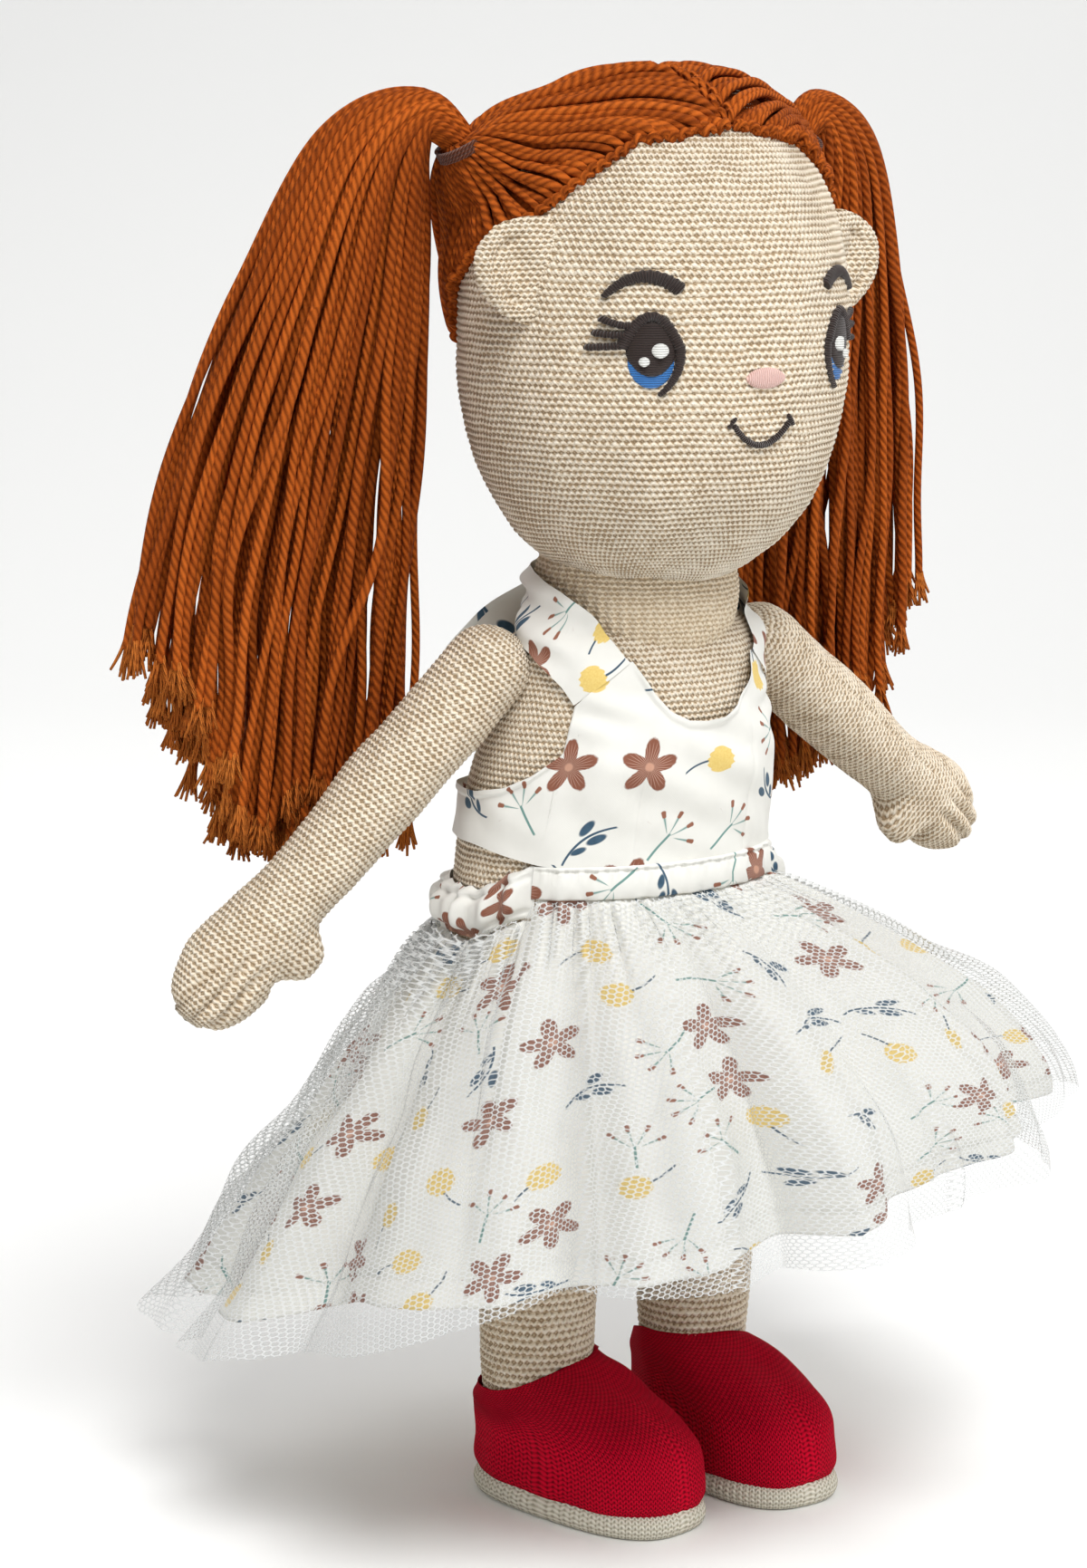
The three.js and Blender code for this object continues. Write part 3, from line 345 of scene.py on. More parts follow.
class Skin:
    """The faces of one mesh, gathered from grids of points in millimetres."""

    def __init__(self):
        self.points = []
        self.tones = []
        self.quads = []
        self.quad_marks = []
        self.fans = []
        self.fan_marks = []
        self.count = 0

    def hold(self, points, tones):
        """Keeps points with their tones, and gives the number of each."""
        start = self.count
        self.points.append(points.reshape(-1, 3))
        self.tones.append(np.broadcast_to(tones, points.shape[:-1]).reshape(-1))
        self.count += self.points[-1].shape[0]
        return start + np.arange(self.count - start).reshape(points.shape[:-1])

    def add(self, grid, marks, tone=0.0, wrapped=True, closed=(False, False)):
        """Adds grids shaped (sheets, rows, columns, 3). Marks have a column more if wrapped."""
        if grid.ndim == 3:
            grid = grid[None]
            marks = marks[None]
        marks = np.broadcast_to(marks, (*grid.shape[:2], marks.shape[2], 2))
        tone = np.asarray(tone, float).reshape(-1, 1, 1)
        index = self.hold(grid, tone)
        across = np.concatenate([index, index[:, :, :1]], axis=2) if wrapped else index
        for source, store in ((across, self.quads), (marks, self.quad_marks)):
            low, high = source[:, :-1], source[:, 1:]
            store.append(np.stack([low[:, :, :-1], low[:, :, 1:], high[:, :, 1:], high[:, :, :-1]], 3))
        for end, row in ((0, 0), (1, -1)):
            if not closed[end]:
                continue
            middle = self.hold(grid[:, row].mean(axis=1)[:, None], tone[:, 0])
            middle = np.broadcast_to(middle, across[:, row, 1:].shape)
            pair = (across[:, row, 1:], across[:, row, :-1])
            mark = (marks[:, row, 1:], marks[:, row, :-1])
            first, second = (0, 1) if row == 0 else (1, 0)
            self.fans.append(np.stack([middle, pair[first], pair[second]], axis=2))
            centre = marks[:, row].mean(axis=1)[:, None]
            centre = np.broadcast_to(centre, mark[0].shape)
            self.fan_marks.append(np.stack([centre, mark[first], mark[second]], axis=2))

    def mesh(self, name, inside=None):
        """The Blender mesh, with all its faces turned away from the inside point."""
        points = np.concatenate(self.points)
        quads = np.concatenate([q.reshape(-1, 4) for q in self.quads])
        marks = np.concatenate([m.reshape(-1, 4, 2) for m in self.quad_marks])
        no_fans = [np.zeros((0, 3), int)]
        no_marks = [np.zeros((0, 3, 2))]
        fans = np.concatenate([f.reshape(-1, 3) for f in self.fans] or no_fans)
        fan_marks = np.concatenate([m.reshape(-1, 3, 2) for m in self.fan_marks] or no_marks)
        centred = points - (points.mean(axis=0) if inside is None else inside)
        a, b, c, d = (centred[quads[:, i]] for i in range(4))
        if np.sum((a + b + c + d) * np.cross(c - a, d - b)) < 0:
            quads, marks = quads[:, ::-1], marks[:, ::-1]
            fans, fan_marks = fans[:, ::-1], fan_marks[:, ::-1]
        corners = np.concatenate([quads.ravel(), fans.ravel()])
        sizes = np.concatenate([np.full(len(quads), 4), np.full(len(fans), 3)])
        mesh = bpy.data.meshes.new(name)
        mesh.vertices.add(len(points))
        mesh.vertices.foreach_set("co", ((points - [BODY_ASIDE, 0, 0]) * MM).ravel())
        mesh.loops.add(len(corners))
        mesh.loops.foreach_set("vertex_index", corners)
        mesh.polygons.add(len(sizes))
        mesh.polygons.foreach_set("loop_start", np.cumsum(sizes) - sizes)
        mesh.polygons.foreach_set("use_smooth", np.ones(len(sizes), bool))
        places = mesh.uv_layers.new(name="place")
        places.uv.foreach_set("vector", np.concatenate([marks.ravel(), fan_marks.ravel()]))
        tone = mesh.attributes.new("tone", "FLOAT", "POINT")
        tone.data.foreach_set("value", np.concatenate(self.tones))
        mesh.update(calc_edges=True)
        return mesh


def skin_of(grid, marks, **settings):
    """The skin of one grid."""
    skin = Skin()
    skin.add(grid, marks, **settings)
    return skin


def make(skin, name, material, body, nodes, inside=None):
    """Turns a skin into a piece that rides on a body and stands for CAD nodes."""
    piece = bpy.data.objects.new(name, skin.mesh(name, inside))
    piece.data.materials.append(material)
    bpy.context.scene.collection.objects.link(piece)
    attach(piece, body)
    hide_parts(*nodes)
    return piece


def stuffed(skin, name, material, body, nodes, inside=None):
    """Makes a padded piece."""
    make(skin, name, material, body, nodes, inside)


def area(grid, wrapped=True):
    """The area of a grid of points, in square metres."""
    full = np.concatenate([grid, grid[:, :1]], axis=1) if wrapped else grid
    first = full[1:, 1:] - full[:-1, :-1]
    second = full[1:, :-1] - full[:-1, 1:]
    return np.linalg.norm(np.cross(first, second), axis=-1).sum() / 2 * MM * MM


def tubes(paths, radii, sides):
    """Grids of tubes round paths shaped (tubes, points, 3), with marks of length and girth."""
    along = unit(np.gradient(paths, axis=1))
    steps = np.linalg.norm(np.diff(paths, axis=1), axis=-1)
    length = np.concatenate([np.zeros((len(paths), 1)), np.cumsum(steps, axis=1)], axis=1)
    side = unit(np.cross(along[:, 0], [0.31, 0.87, 0.39]))
    frames = [side]
    for k in range(1, paths.shape[1]):
        side = unit(side - along[:, k] * np.sum(side * along[:, k], axis=-1, keepdims=True))
        frames.append(side)
    side = np.stack(frames, axis=1)[:, :, None]
    other = np.cross(along[:, :, None], side)
    turn = np.linspace(0, TAU, sides, endpoint=False)
    reach = np.broadcast_to(radii, paths.shape[:2])[:, :, None]
    ring = side * np.cos(turn)[:, None] + other * np.sin(turn)[:, None]
    grid = paths[:, :, None] + ring * reach[..., None]
    girth = np.linspace(0, 1, sides + 1)
    return grid, stacked(length[:, :, None], girth)


# Materials


def colour(text):
    """A linear colour from an sRGB hex text."""
    parts = [int(text[i : i + 2], 16) / 255 for i in (0, 2, 4)]
    linear = [p / 12.92 if p <= 0.04045 else ((p + 0.055) / 1.055) ** 2.4 for p in parts]
    return (*linear, 1)


def join(tree, item, slot):
    """Sets a socket to a number or colour, or links it to a value."""
    if isinstance(item, Value):
        tree.links.new(item.socket, slot)
    else:
        slot.default_value = item


def add_node(tree, kind, settings, inputs, output=0):
    """Adds a node with its settings and its inputs, and gives back one of its outputs."""
    node = tree.nodes.new(kind)
    for name, choice in settings.items():
        setattr(node, name, choice)
    for name, item in inputs.items():
        join(tree, item, node.inputs[name])
    return Value(tree, node.outputs[output])


class Value:
    """A number in a material. A sum written with it becomes math nodes."""

    def __init__(self, tree, socket):
        self.tree = tree
        self.socket = socket

    def beside(self, output):
        """Another output of the node that this value comes from."""
        return Value(self.tree, self.socket.node.outputs[output])

    def math(self, operation, *others):
        """A math node with this and the other numbers as its inputs."""
        inputs = dict(enumerate((self, *others)))
        return add_node(self.tree, "ShaderNodeMath", {"operation": operation}, inputs)

    def __add__(self, other):
        return self.math("ADD", other)

    def __sub__(self, other):
        return self.math("SUBTRACT", other)

    def __mul__(self, other):
        return self.math("MULTIPLY", other)

    def __truediv__(self, other):
        return self.math("DIVIDE", other)

    def __neg__(self):
        return self * -1

    def floor(self):
        return self.math("FLOOR")

    def size(self):
        return self.math("ABSOLUTE")

    def sine(self):
        """The sine, counted in whole turns."""
        return (self * TAU).math("SINE")

    def cosine(self):
        """The cosine, counted in whole turns."""
        return (self * TAU).math("COSINE")

    def fraction(self):
        return self.math("FRACT")

    def power(self, exponent):
        return self.math("POWER", exponent)

    def least(self, other):
        return self.math("MINIMUM", other)

    def most(self, other):
        return self.math("MAXIMUM", other)

    def wave(self):
        """From 0 at whole numbers up to 1 halfway between them."""
        return self.cosine() * -0.5 + 0.5

    def below(self, limit, soft=0.05):
        """1 where this is under the limit, 0 where it is over, with a soft edge."""
        settings = {"interpolation_type": "SMOOTHSTEP"}
        inputs = {"Value": self - limit, "From Min": -soft, "From Max": soft, "To Min": 1, "To Max": 0}
        return add_node(self.tree, "ShaderNodeMapRange", settings, inputs, "Result")


class Finish:
    """A material under construction round its one shader."""

    def __init__(self, name, roughness, sheen=0.0, specular=0.3):
        self.material = bpy.data.materials.new(name)
        self.material.use_nodes = True
        self.tree = self.material.node_tree
        self.shader = self.tree.nodes["Principled BSDF"]
        self.set("Roughness", roughness)
        self.set("Sheen Weight", sheen)
        self.set("Sheen Roughness", 0.4)
        self.set("Specular IOR Level", specular)

    def set(self, name, item):
        join(self.tree, item, self.shader.inputs[name])

    def place(self):
        """The two marks of the surface under the eye."""
        marks = add_node(self.tree, "ShaderNodeUVMap", {"uv_map": "place"}, {})
        across = add_node(self.tree, "ShaderNodeSeparateXYZ", {}, {0: marks})
        return across, across.beside("Y")

    def tone(self):
        """The shade of the one strand under the eye, from -1 to 1."""
        return add_node(self.tree, "ShaderNodeAttribute", {"attribute_name": "tone"}, {}, "Fac")

    def noise(self, size, detail=2.0):
        """Random patches of about this size in millimetres, from 0 to 1."""
        where = add_node(self.tree, "ShaderNodeTexCoord", {}, {}, "Object")
        inputs = {"Vector": where, "Scale": 1 / (size * MM), "Detail": detail}
        return add_node(self.tree, "ShaderNodeTexNoise", {}, inputs, "Fac")

    def chance(self, x, y):
        """A random number of its own for each whole x and y."""
        where = add_node(self.tree, "ShaderNodeCombineXYZ", {}, {"X": x, "Y": y})
        return add_node(self.tree, "ShaderNodeTexWhiteNoise", {}, {"Vector": where}, "Value")

    def mix(self, share, first, second):
        """The first colour, with this share of the second laid over it."""
        inputs = {0: share, 6: first, 7: second}
        return add_node(self.tree, "ShaderNodeMix", {"data_type": "RGBA"}, inputs, 2)

    def bump(self, height, depth, strength=1.0):
        """Raises the look of the surface by height times depth in millimetres."""
        inputs = {"Height": height, "Distance": depth * MM, "Strength": strength}
        self.set("Normal", add_node(self.tree, "ShaderNodeBump", {}, inputs))


def purl_knit(name, light, middle, gap, depth, shade):
    """Wool knit seen from its purl side: rows of short arched bumps, each a shade of its own. Crests are
    painted towards the light colour as painted highlight, and the low gaps towards the gap colour as
    painted shade.
    """
    finish = Finish(name, 0.95, 0.12)
    across, up = finish.place()
    across = across + (finish.noise(6) - 0.5) * 0.6
    up = up + (finish.noise(8) - 0.5) * 0.8
    shifted = across + up.floor() * 0.5
    own = finish.chance(shifted.floor(), up.floor())
    crest = (up + (shifted + 0.25).sine() * 0.16).wave().power(0.75)
    bead = (shifted.wave() * 0.5 + 0.5).power(0.8)
    twist = (shifted * 2 + up * 1.5).wave() * 0.18
    fibres = finish.noise(FIBRE_SIZE, 3) - 0.5
    height = crest * bead + fibres * 0.5 + twist + own * 0.25 - 0.2
    patches = finish.noise(16) * 0.3 + finish.noise(2.5) * 0.3
    # Painted highlight: raised parts of the knit are coloured towards the light colour.
    lit = finish.mix(height * 1.1 - 0.2 + patches * 0.4, colour(middle), colour(light))
    # Painted shade: the low gaps between stitches are darkened towards the gap colour, by the share given
    # as shade.
    pit_shade_mask = (height + patches * 0.2).below(0.3, 0.24)
    finish.set("Base Color", finish.mix(pit_shade_mask * shade, lit, colour(gap)))
    finish.bump(height, depth)
    return finish.material


def plain_knit(name, light, middle, gap):
    """Fine knit seen from its smooth side: upright chains of V stitches, with grooves painted dark as
    shade.
    """
    finish = Finish(name, 1.0, specular=0.1)
    across, up = finish.place()
    offset = (across.fraction() - 0.5).size()
    leg = (up - offset * 1.1).wave()
    groove = (across.cosine() * 0.5 + 0.5).power(6) + ((across + 0.5).cosine() * 0.5 + 0.5).power(10)
    height = leg * 0.7 + 0.3 - groove * 0.45 + finish.noise(FIBRE_SIZE, 3) * 0.25
    patches = finish.noise(9) * 0.5
    # Painted highlight: raised parts of the stitches are coloured towards the light colour.
    lit = finish.mix((height + patches - 0.3).least(1), colour(middle), colour(light))
    # Painted shade: the low grooves are darkened towards the gap colour.
    finish.set("Base Color", finish.mix(height.below(0.35, 0.3) * 0.7, lit, colour(gap)))
    finish.bump(height, 0.4)
    return finish.material


def plied_yarn(name, light, middle, gap):
    """Plied wool: slanting plies with soft grooves painted dark as shade, and each strand a shade of its
    own.
    """
    finish = Finish(name, 1.0, specular=0.12)
    along, girth = finish.place()
    ply = (girth * 3 + along / YARN_PITCH).wave()
    fibres = finish.noise(FINE_FIBRE_SIZE, 3)
    streaks = finish.noise(1.8) * 0.4 + finish.noise(12) * 0.4
    share = ply * 0.4 + fibres * 0.5 + finish.tone() * 0.6 + streaks * 0.5 - 0.4
    lit = finish.mix(share, colour(middle), colour(light))
    # Painted shade: the grooves between plies are darkened towards the gap colour.
    finish.set("Base Color", finish.mix(ply.below(0.15, 0.25) * 0.45, lit, colour(gap)))
    finish.bump(ply * 0.8 + fibres * 0.5, 0.5)
    return finish.material


def satin_thread(name, base, groove):
    """Embroidery thread laid side by side: a soft gloss and a fine groove between stitches, painted darker
    as shade.
    """
    finish = Finish(name, 0.5, 0.3)
    along, across = finish.place()
    stitch = (along / THREAD_WIDTH).wave()
    fibres = finish.noise(FINE_FIBRE_SIZE)
    # Painted shade: the fine grooves between stitches are darkened towards the groove colour.
    shade = (stitch + fibres * 0.4).below(0.35, 0.3)
    finish.set("Base Color", finish.mix(shade, colour(base), colour(groove)))
    finish.bump(stitch + fibres * 0.3, 0.25)
    return finish.material


def weave(across, along):
    """The threads of fine cotton, over and under each other."""
    across = across * THREADS_PER_MM
    along = along * THREADS_PER_MM
    over = across.wave() * along.wave()
    under = (across + 0.5).wave() * (along + 0.5).wave()
    return over.most(under)


def motif(finish, where):
    """The nearest motif's own x and y in millimetres, and a random number of its own."""
    across, along = where
    inputs = {"X": across / MOTIF_SPACING, "Y": along / MOTIF_SPACING}
    vector = add_node(finish.tree, "ShaderNodeCombineXYZ", {}, inputs)
    inputs = {"Vector": vector, "Scale": 1, "Randomness": 0.55}
    centre = add_node(finish.tree, "ShaderNodeTexVoronoi", {"voronoi_dimensions": "2D"}, inputs, "Position")
    centre_x = add_node(finish.tree, "ShaderNodeSeparateXYZ", {}, {0: centre})
    kind = add_node(finish.tree, "ShaderNodeSeparateXYZ", {}, {0: centre.beside("Color")})
    spin = kind.beside("Y")
    x = (across - centre_x * MOTIF_SPACING) / MOTIF_SIZE
    y = (along - centre_x.beside("Y") * MOTIF_SPACING) / MOTIF_SIZE
    cosine, sine = spin.cosine(), spin.sine()
    return x * cosine - y * sine, x * sine + y * cosine, kind


def printed_cotton():
    """White cotton lawn printed with brown flowers, yellow buds, navy sprigs and green umbels.

    Each motif is a formula of its own x and y. Its ink is laid where its random number is in range.
    """
    finish = Finish("printed_cotton", 0.9, 0.1)
    across, along = finish.place()
    # The same noise makes creases in the bump and greys the cloth colour in patches: painted crease shade.
    creases = finish.noise(7, 3)
    shown = finish.mix(creases * 0.5, colour("EFEEE8"), colour("D6D5CE"))
    x, y, kind = motif(finish, (across, along))
    radius = (x * x + y * y).power(0.5)
    angle = y.math("ARCTAN2", x) / TAU
    ragged = finish.noise(0.9) * 0.6 - 0.3

    def lay(share, first, last, ink):
        """The cotton with this ink on it, on motifs whose number is from first to last."""
        chosen = kind.below(last, 0.001) - kind.below(first, 0.001)
        return finish.mix(share * chosen, shown, ink)

    petals = (angle * 5).wave().power(0.7) * 3.4 + 2.1
    veins = ((angle * 40).wave() + radius * 0.07).below(0.3, 0.15) * radius.below(4.6, 0.5)
    brown = finish.mix(veins * 0.6, colour("8A5744"), colour("DDBFAE"))
    brown = finish.mix(radius.below(0.8, 0.2), brown, colour("C99A83"))
    shown = lay((radius - petals + ragged).below(0, 0.25), 0, 0.36, brown)

    notch = (x * 0.42).cosine().size() * -0.5
    cup = ((x * x) / 7 + (y - notch - 0.9).power(2) / 8.5).below(1, 0.1)
    yellow = finish.mix(finish.noise(0.5, 3), colour("F0D98C"), colour("DDB85C"))
    shown = lay(cup, 0.36, 0.58, yellow)
    bent = x - y * y * 0.05
    stem = bent.size().below(0.22, 0.08) * (y + 4.6).size().below(2.4, 0.2)
    shown = lay(stem, 0.36, 0.58, colour("41586B"))

    stem = bent.size().below(0.24, 0.08) * y.size().below(6, 0.2)
    leaves = ((x.size() - 1.5).power(2) * 0.9 + (y - x.size() * 0.8 - 0.6).power(2) * 0.28).below(0.8, 0.25)
    low = ((x - 1.3).power(2) * 1.1 + (y + 3.2 - x * 0.9).power(2) * 0.35).below(0.6, 0.25)
    ink = finish.mix(finish.noise(1.6), colour("2C4459"), colour("4C6A80"))
    shown = lay(leaves.most(low).most(stem), 0.58, 0.82, ink)

    upper = y.below(0.5, 0.2) * -1 + 1
    spokes = (angle * 9).wave().power(14) * radius.below(4.4, 0.2) * upper
    stalk = x.size().below(0.24, 0.08) * (y + 2.6).size().below(3.4, 0.2)
    shown = lay(spokes.most(stalk), 0.82, 1.1, colour("6F9690"))
    dots = ((angle * 9).wave().power(5) * (radius - 4.8).size().below(0.75, 0.3)).below(0.45, 0.2)
    shown = lay((-dots + 1) * upper, 0.82, 1.1, colour("94604B"))

    finish.set("Base Color", shown)
    finish.bump(weave(across, along) * 0.3 + creases * 1.2, 0.3, 0.6)
    return finish.material


def hexagonal_net():
    """White net: thin threads round six-sided holes, see-through between them.

    A point is in the nearer of two lattices of hexagons, and on a thread near that hexagon's rim.
    """
    finish = Finish("white_net", 0.8)
    across, along = finish.place()
    tall = math.sqrt(3)

    def from_middle(offset):
        """How far the point is from the middle of its hexagon, with 0.5 at the rim."""
        x = ((across / NET_CELL + offset).fraction() - 0.5).size()
        y = (((along / (NET_CELL * tall) + offset).fraction() - 0.5) * tall).size()
        return x.most(x * 0.5 + y * (tall / 2))

    rim = from_middle(0.0).least(from_middle(0.5))
    threads = -rim.below(0.5 - NET_THREAD_SHARE, 0.05) + 1
    finish.set("Base Color", colour("D0D2D1"))
    finish.set("Alpha", threads * 0.8 + 0.07)
    return finish.material


def braided_tie():
    """Dark brown thread, round and braided, with a dull gloss. Its cords are painted lighter on their
    crests and darker between them, as painted highlight and shade.
    """
    finish = Finish("tie_thread", 0.7, 0.2)
    along, girth = finish.place()
    cord = (girth * 6 + along).wave()
    # Painted highlight and shade: lighter brown on each cord's crest, darker brown between the cords.
    finish.set("Base Color", finish.mix(cord, colour("3A1A0A"), colour("7A3A17")))
    finish.bump(cord, 0.3)
    return finish.material


# Knits and yarns take a light colour painted on their crests as highlight, their middle colour, and a gap
# colour painted in their hollows as shade. Threads take their colour and a groove colour painted as shade.
WOOL = purl_knit("knit_yarn", "FDF2DF", "DEC7A6", "8E7250", 0.65, 0.75)
RIB = purl_knit("ribbed_yarn", "F2E4CC", "D6BF9E", "9A7F5E", 0.45, 0.45)
RED = plain_knit("red_knit", "D8082E", "AE0322", "5A0010")
CREAM = plain_knit("cream_knit", "F2EEDF", "DAD4C0", "A09883")
HAIR = plied_yarn("hair_yarn", "CB6622", "8E4010", "3E1603")
TUFT = plied_yarn("hair_tufts", "DC8136", "B05A20", "6B2F0C")
DARK = satin_thread("dark_thread", "30211C", "140C0A")
BLUE = satin_thread("blue_thread", "3579BF", "1B4377")
WHITE = satin_thread("white_thread", "F4F4F0", "B9B9B2")
PINK = satin_thread("pink_thread", "F0C9C0", "C99488")
PRINT = printed_cotton()
NET = hexagonal_net()
TIE = braided_tie()


# Head, neck and ears


def head_reach(direction):
    """How far the head's surface lies from its centre, in each direction."""
    level = np.hypot(direction[..., 0] / HEAD_HALF[0], direction[..., 1] / HEAD_HALF[1])
    high = np.abs(direction[..., 2]) / HEAD_HALF[2]
    return (level**HEAD_SQUARENESS + high**HEAD_SQUARENESS) ** (-1 / HEAD_SQUARENESS)


def over_head(points, out):
    """Moves points along lines from the head's centre to this far outside it."""
    direction = unit(points - HEAD_CENTRE)
    return HEAD_CENTRE + direction * (head_reach(direction) + out)[..., None]


def head_share(z):
    """How wide the head is at a level, as a share of its width at its middle."""
    level = np.clip(np.abs(z - HEAD_CENTRE[2]) / HEAD_HALF[2], 0, 1)
    return (1 - level**HEAD_SQUARENESS) ** (1 / HEAD_SQUARENESS)


def on_head(turn, z, out=0.0):
    """The head's surface at a turn and a level."""
    share = head_share(z)
    x = np.sin(turn) * (HEAD_HALF[0] * share + out)
    y = HEAD_CENTRE[1] - np.cos(turn) * (HEAD_HALF[1] * share + out)
    return stacked(x, y, z)


def on_face(x, z, out):
    """The front of the head behind a point of the face as seen from straight in front."""
    share = head_share(z)
    depth = np.sqrt(np.clip(1 - (x / (HEAD_HALF[0] * share)) ** 2, 0, 1))
    surface = np.stack([x, HEAD_CENTRE[1] - HEAD_HALF[1] * share * depth, z], axis=-1)
    tilt = (surface - HEAD_CENTRE) / HEAD_HALF**2
    return surface + unit(tilt) * np.asarray(out)[..., None]


def make_head():
    """A stuffed ball, a little squarer than an ellipsoid, in level rows of knit."""
    latitude = np.linspace(-0.5, 0.5, 1200) * math.pi
    bowed = np.sign(latitude) * np.abs(np.sin(latitude)) ** (2 / HEAD_SQUARENESS)
    width = np.abs(np.cos(latitude)) ** (2 / HEAD_SQUARENESS)
    profile = np.zeros((len(latitude), 5))
    profile[:] = [*HEAD_CENTRE, 0, 0]
    profile[:, 2] += HEAD_HALF[2] * bowed
    profile[:, 3] = HEAD_HALF[0] * width
    profile[:, 4] = HEAD_HALF[1] * width
    stations, along = evenly(profile, HEAD_SPACING, slice(2, 4))
    grid = rings(stations, HEAD_COLUMNS)
    stitches = round(TAU * HEAD_HALF[0] / HEAD_STITCH)
    marks = stitch_marks(along, HEAD_COLUMNS, stitches, HEAD_ROW)
    grid = knitted(grid, marks, HEAD_CENTRE, 0.5, 0.35, 3)
    skin = skin_of(grid, marks, closed=BOTH_ENDS)
    stuffed(skin, "head", WOOL, "head", ["head_knit_cover", "head_stuffing"])


def make_neck():
    """A ribbed sleeve: the zone of a ball, under the chin."""
    heights = np.linspace(-NECK_HALF_HEIGHT, NECK_HALF_HEIGHT, 78)
    radius = np.sqrt(NECK_RADIUS**2 - heights**2)
    stations = np.zeros((len(heights), 5))
    stations[:] = [*NECK_CENTRE, 0, 0]
    stations[:, 2] += heights
    stations[:, 3] = radius
    stations[:, 4] = radius
    grid = rings(stations, NECK_COLUMNS)
    marks = stitch_marks(heights + NECK_HALF_HEIGHT, NECK_COLUMNS, 2 * NECK_RIBS, NECK_ROW)
    rib = np.cos(np.linspace(0, TAU * NECK_RIBS, NECK_COLUMNS, endpoint=False)) * NECK_RIB_DEPTH
    grid = knitted(grid, marks, NECK_CENTRE, 0.3, 0.3, 5)
    grid = grid + outward(grid, NECK_CENTRE) * rib[None, :, None]
    skin = skin_of(grid, marks, closed=BOTH_ENDS)
    stuffed(skin, "neck", RIB, "neck", ["neck_knit_band", "neck_stuffing"])


def make_ear(side, tag):
    """A flap folded along its height: a flat ball, thick at its rim, hollow in front."""
    turn = np.linspace(0, TAU, 121)
    latitude = np.linspace(-0.5, 0.5, 110)[:, None] * math.pi
    full = np.cos(latitude)
    out = full * np.cos(turn)
    thick = full * np.sin(turn)
    up = np.sin(latitude) * np.ones_like(turn)
    marks = np.stack([out * EAR_REACH / 1.5 + 40, up * EAR_HALF_HEIGHT / 1.25 + 40], axis=-1)
    out, thick, up = out[:, :-1], thick[:, :-1], up[:, :-1]
    hollow = EAR_HOLLOW * np.exp(-((out - 0.3) ** 2) / 0.1 - up**2 / 0.4)
    rim = 1 + 0.55 * smooth_step(0.3, 0.8, out)
    fold = EAR_FOLD * bell(np.hypot(out, up) - 0.66, 0.08) * smooth_step(0.1, 0.4, out)
    offset = thick * EAR_THICKNESS / 2 * rim + np.where(thick < 0, hollow + fold, 0)
    sweep = side * EAR_SWEEP
    outward_way = np.array([math.sin(sweep), -math.cos(sweep), 0])
    front_way = np.array([math.cos(sweep), math.sin(sweep), 0]) * side
    root = on_head(side * EAR_TURN, np.array(EAR_HEIGHT))
    reach = EAR_REACH * (1 + 0.12 * up)
    grid = root + outward_way * (out * reach)[..., None] + front_way * offset[..., None]
    grid = grid + UPWARD * (up * EAR_HALF_HEIGHT)[..., None]
    grid = knitted(grid, marks, root, 0.3, 0.3, 8 + side)
    skin = skin_of(grid, marks, closed=BOTH_ENDS)
    stuffed(skin, f"folded_ear_{tag}", WOOL, "head", [f"ear_{tag}"])


# Torso and limbs

# Rows of height, half-width, half-depth and forward lean
TORSO_SHARES = [
    [0, 0, 0, 0],
    [0.006, 0.5, 0.48, 0],
    [0.035, 0.8, 0.8, 0],
    [0.11, 0.97, 0.97, 0],
    [0.26, 1, 1, 0],
    [0.4, 0.965, 0.97, 0.05],
    [0.56, 0.94, 0.95, 0.3],
    [0.7, 0.87, 0.92, 0.55],
    [0.82, 0.8, 0.85, 0.75],
    [0.9, 0.78, 0.74, 0.88],
    [0.96, 0.68, 0.56, 0.96],
    [0.99, 0.4, 0.32, 1],
    [1, 0, 0, 1],
]
# Rows of the way down the arm, half-width and half-depth
ARM_SHARES = [
    [0, 1, 1],
    [0.19, 1.02, 1.02],
    [0.42, 1, 1],
    [0.62, 0.9, 0.88],
    [0.74, 1.02, 0.9],
    [0.86, 1.16, 0.88],
    [0.95, 0.86, 0.68],
    [0.99, 0.45, 0.4],
    [1, 0, 0],
]
# Rows of the way down the leg and its radius
LEG_SHARES = [
    [0, 1],
    [0.33, 1.03],
    [0.58, 0.94],
    [0.74, 0.88],
    [0.84, 0.8],
    [0.9, 0.72],
    [0.925, 0.5],
]
# Rows of height, half-length, the middle's way forward and half-width
SHOE_SHARES = [
    [0, 0.96, 1, 0.95],
    [0.1, 1, 1, 1],
    [0.28, 0.98, 1, 0.99],
    [0.45, 0.97, 0.94, 0.98],
    [0.59, 0.91, 0.8, 0.97],
    [0.72, 0.81, 0.58, 0.97],
    [0.86, 0.67, 0.28, 0.97],
]


def torso_profile():
    """The torso's middle line and half-sizes, as a smooth curve through its rows."""
    rows = [
        [
            0,
            TORSO_BACK - (TORSO_LEAN + TORSO_BACK) * lean,
            TORSO_BOTTOM + (TORSO_TOP - TORSO_BOTTOM) * up,
            TORSO_HALF_WIDTH * width,
            TORSO_HALF_DEPTH * depth,
        ]
        for up, width, depth, lean in TORSO_SHARES
    ]
    return smooth_path(rows, 30)


TORSO = torso_profile()


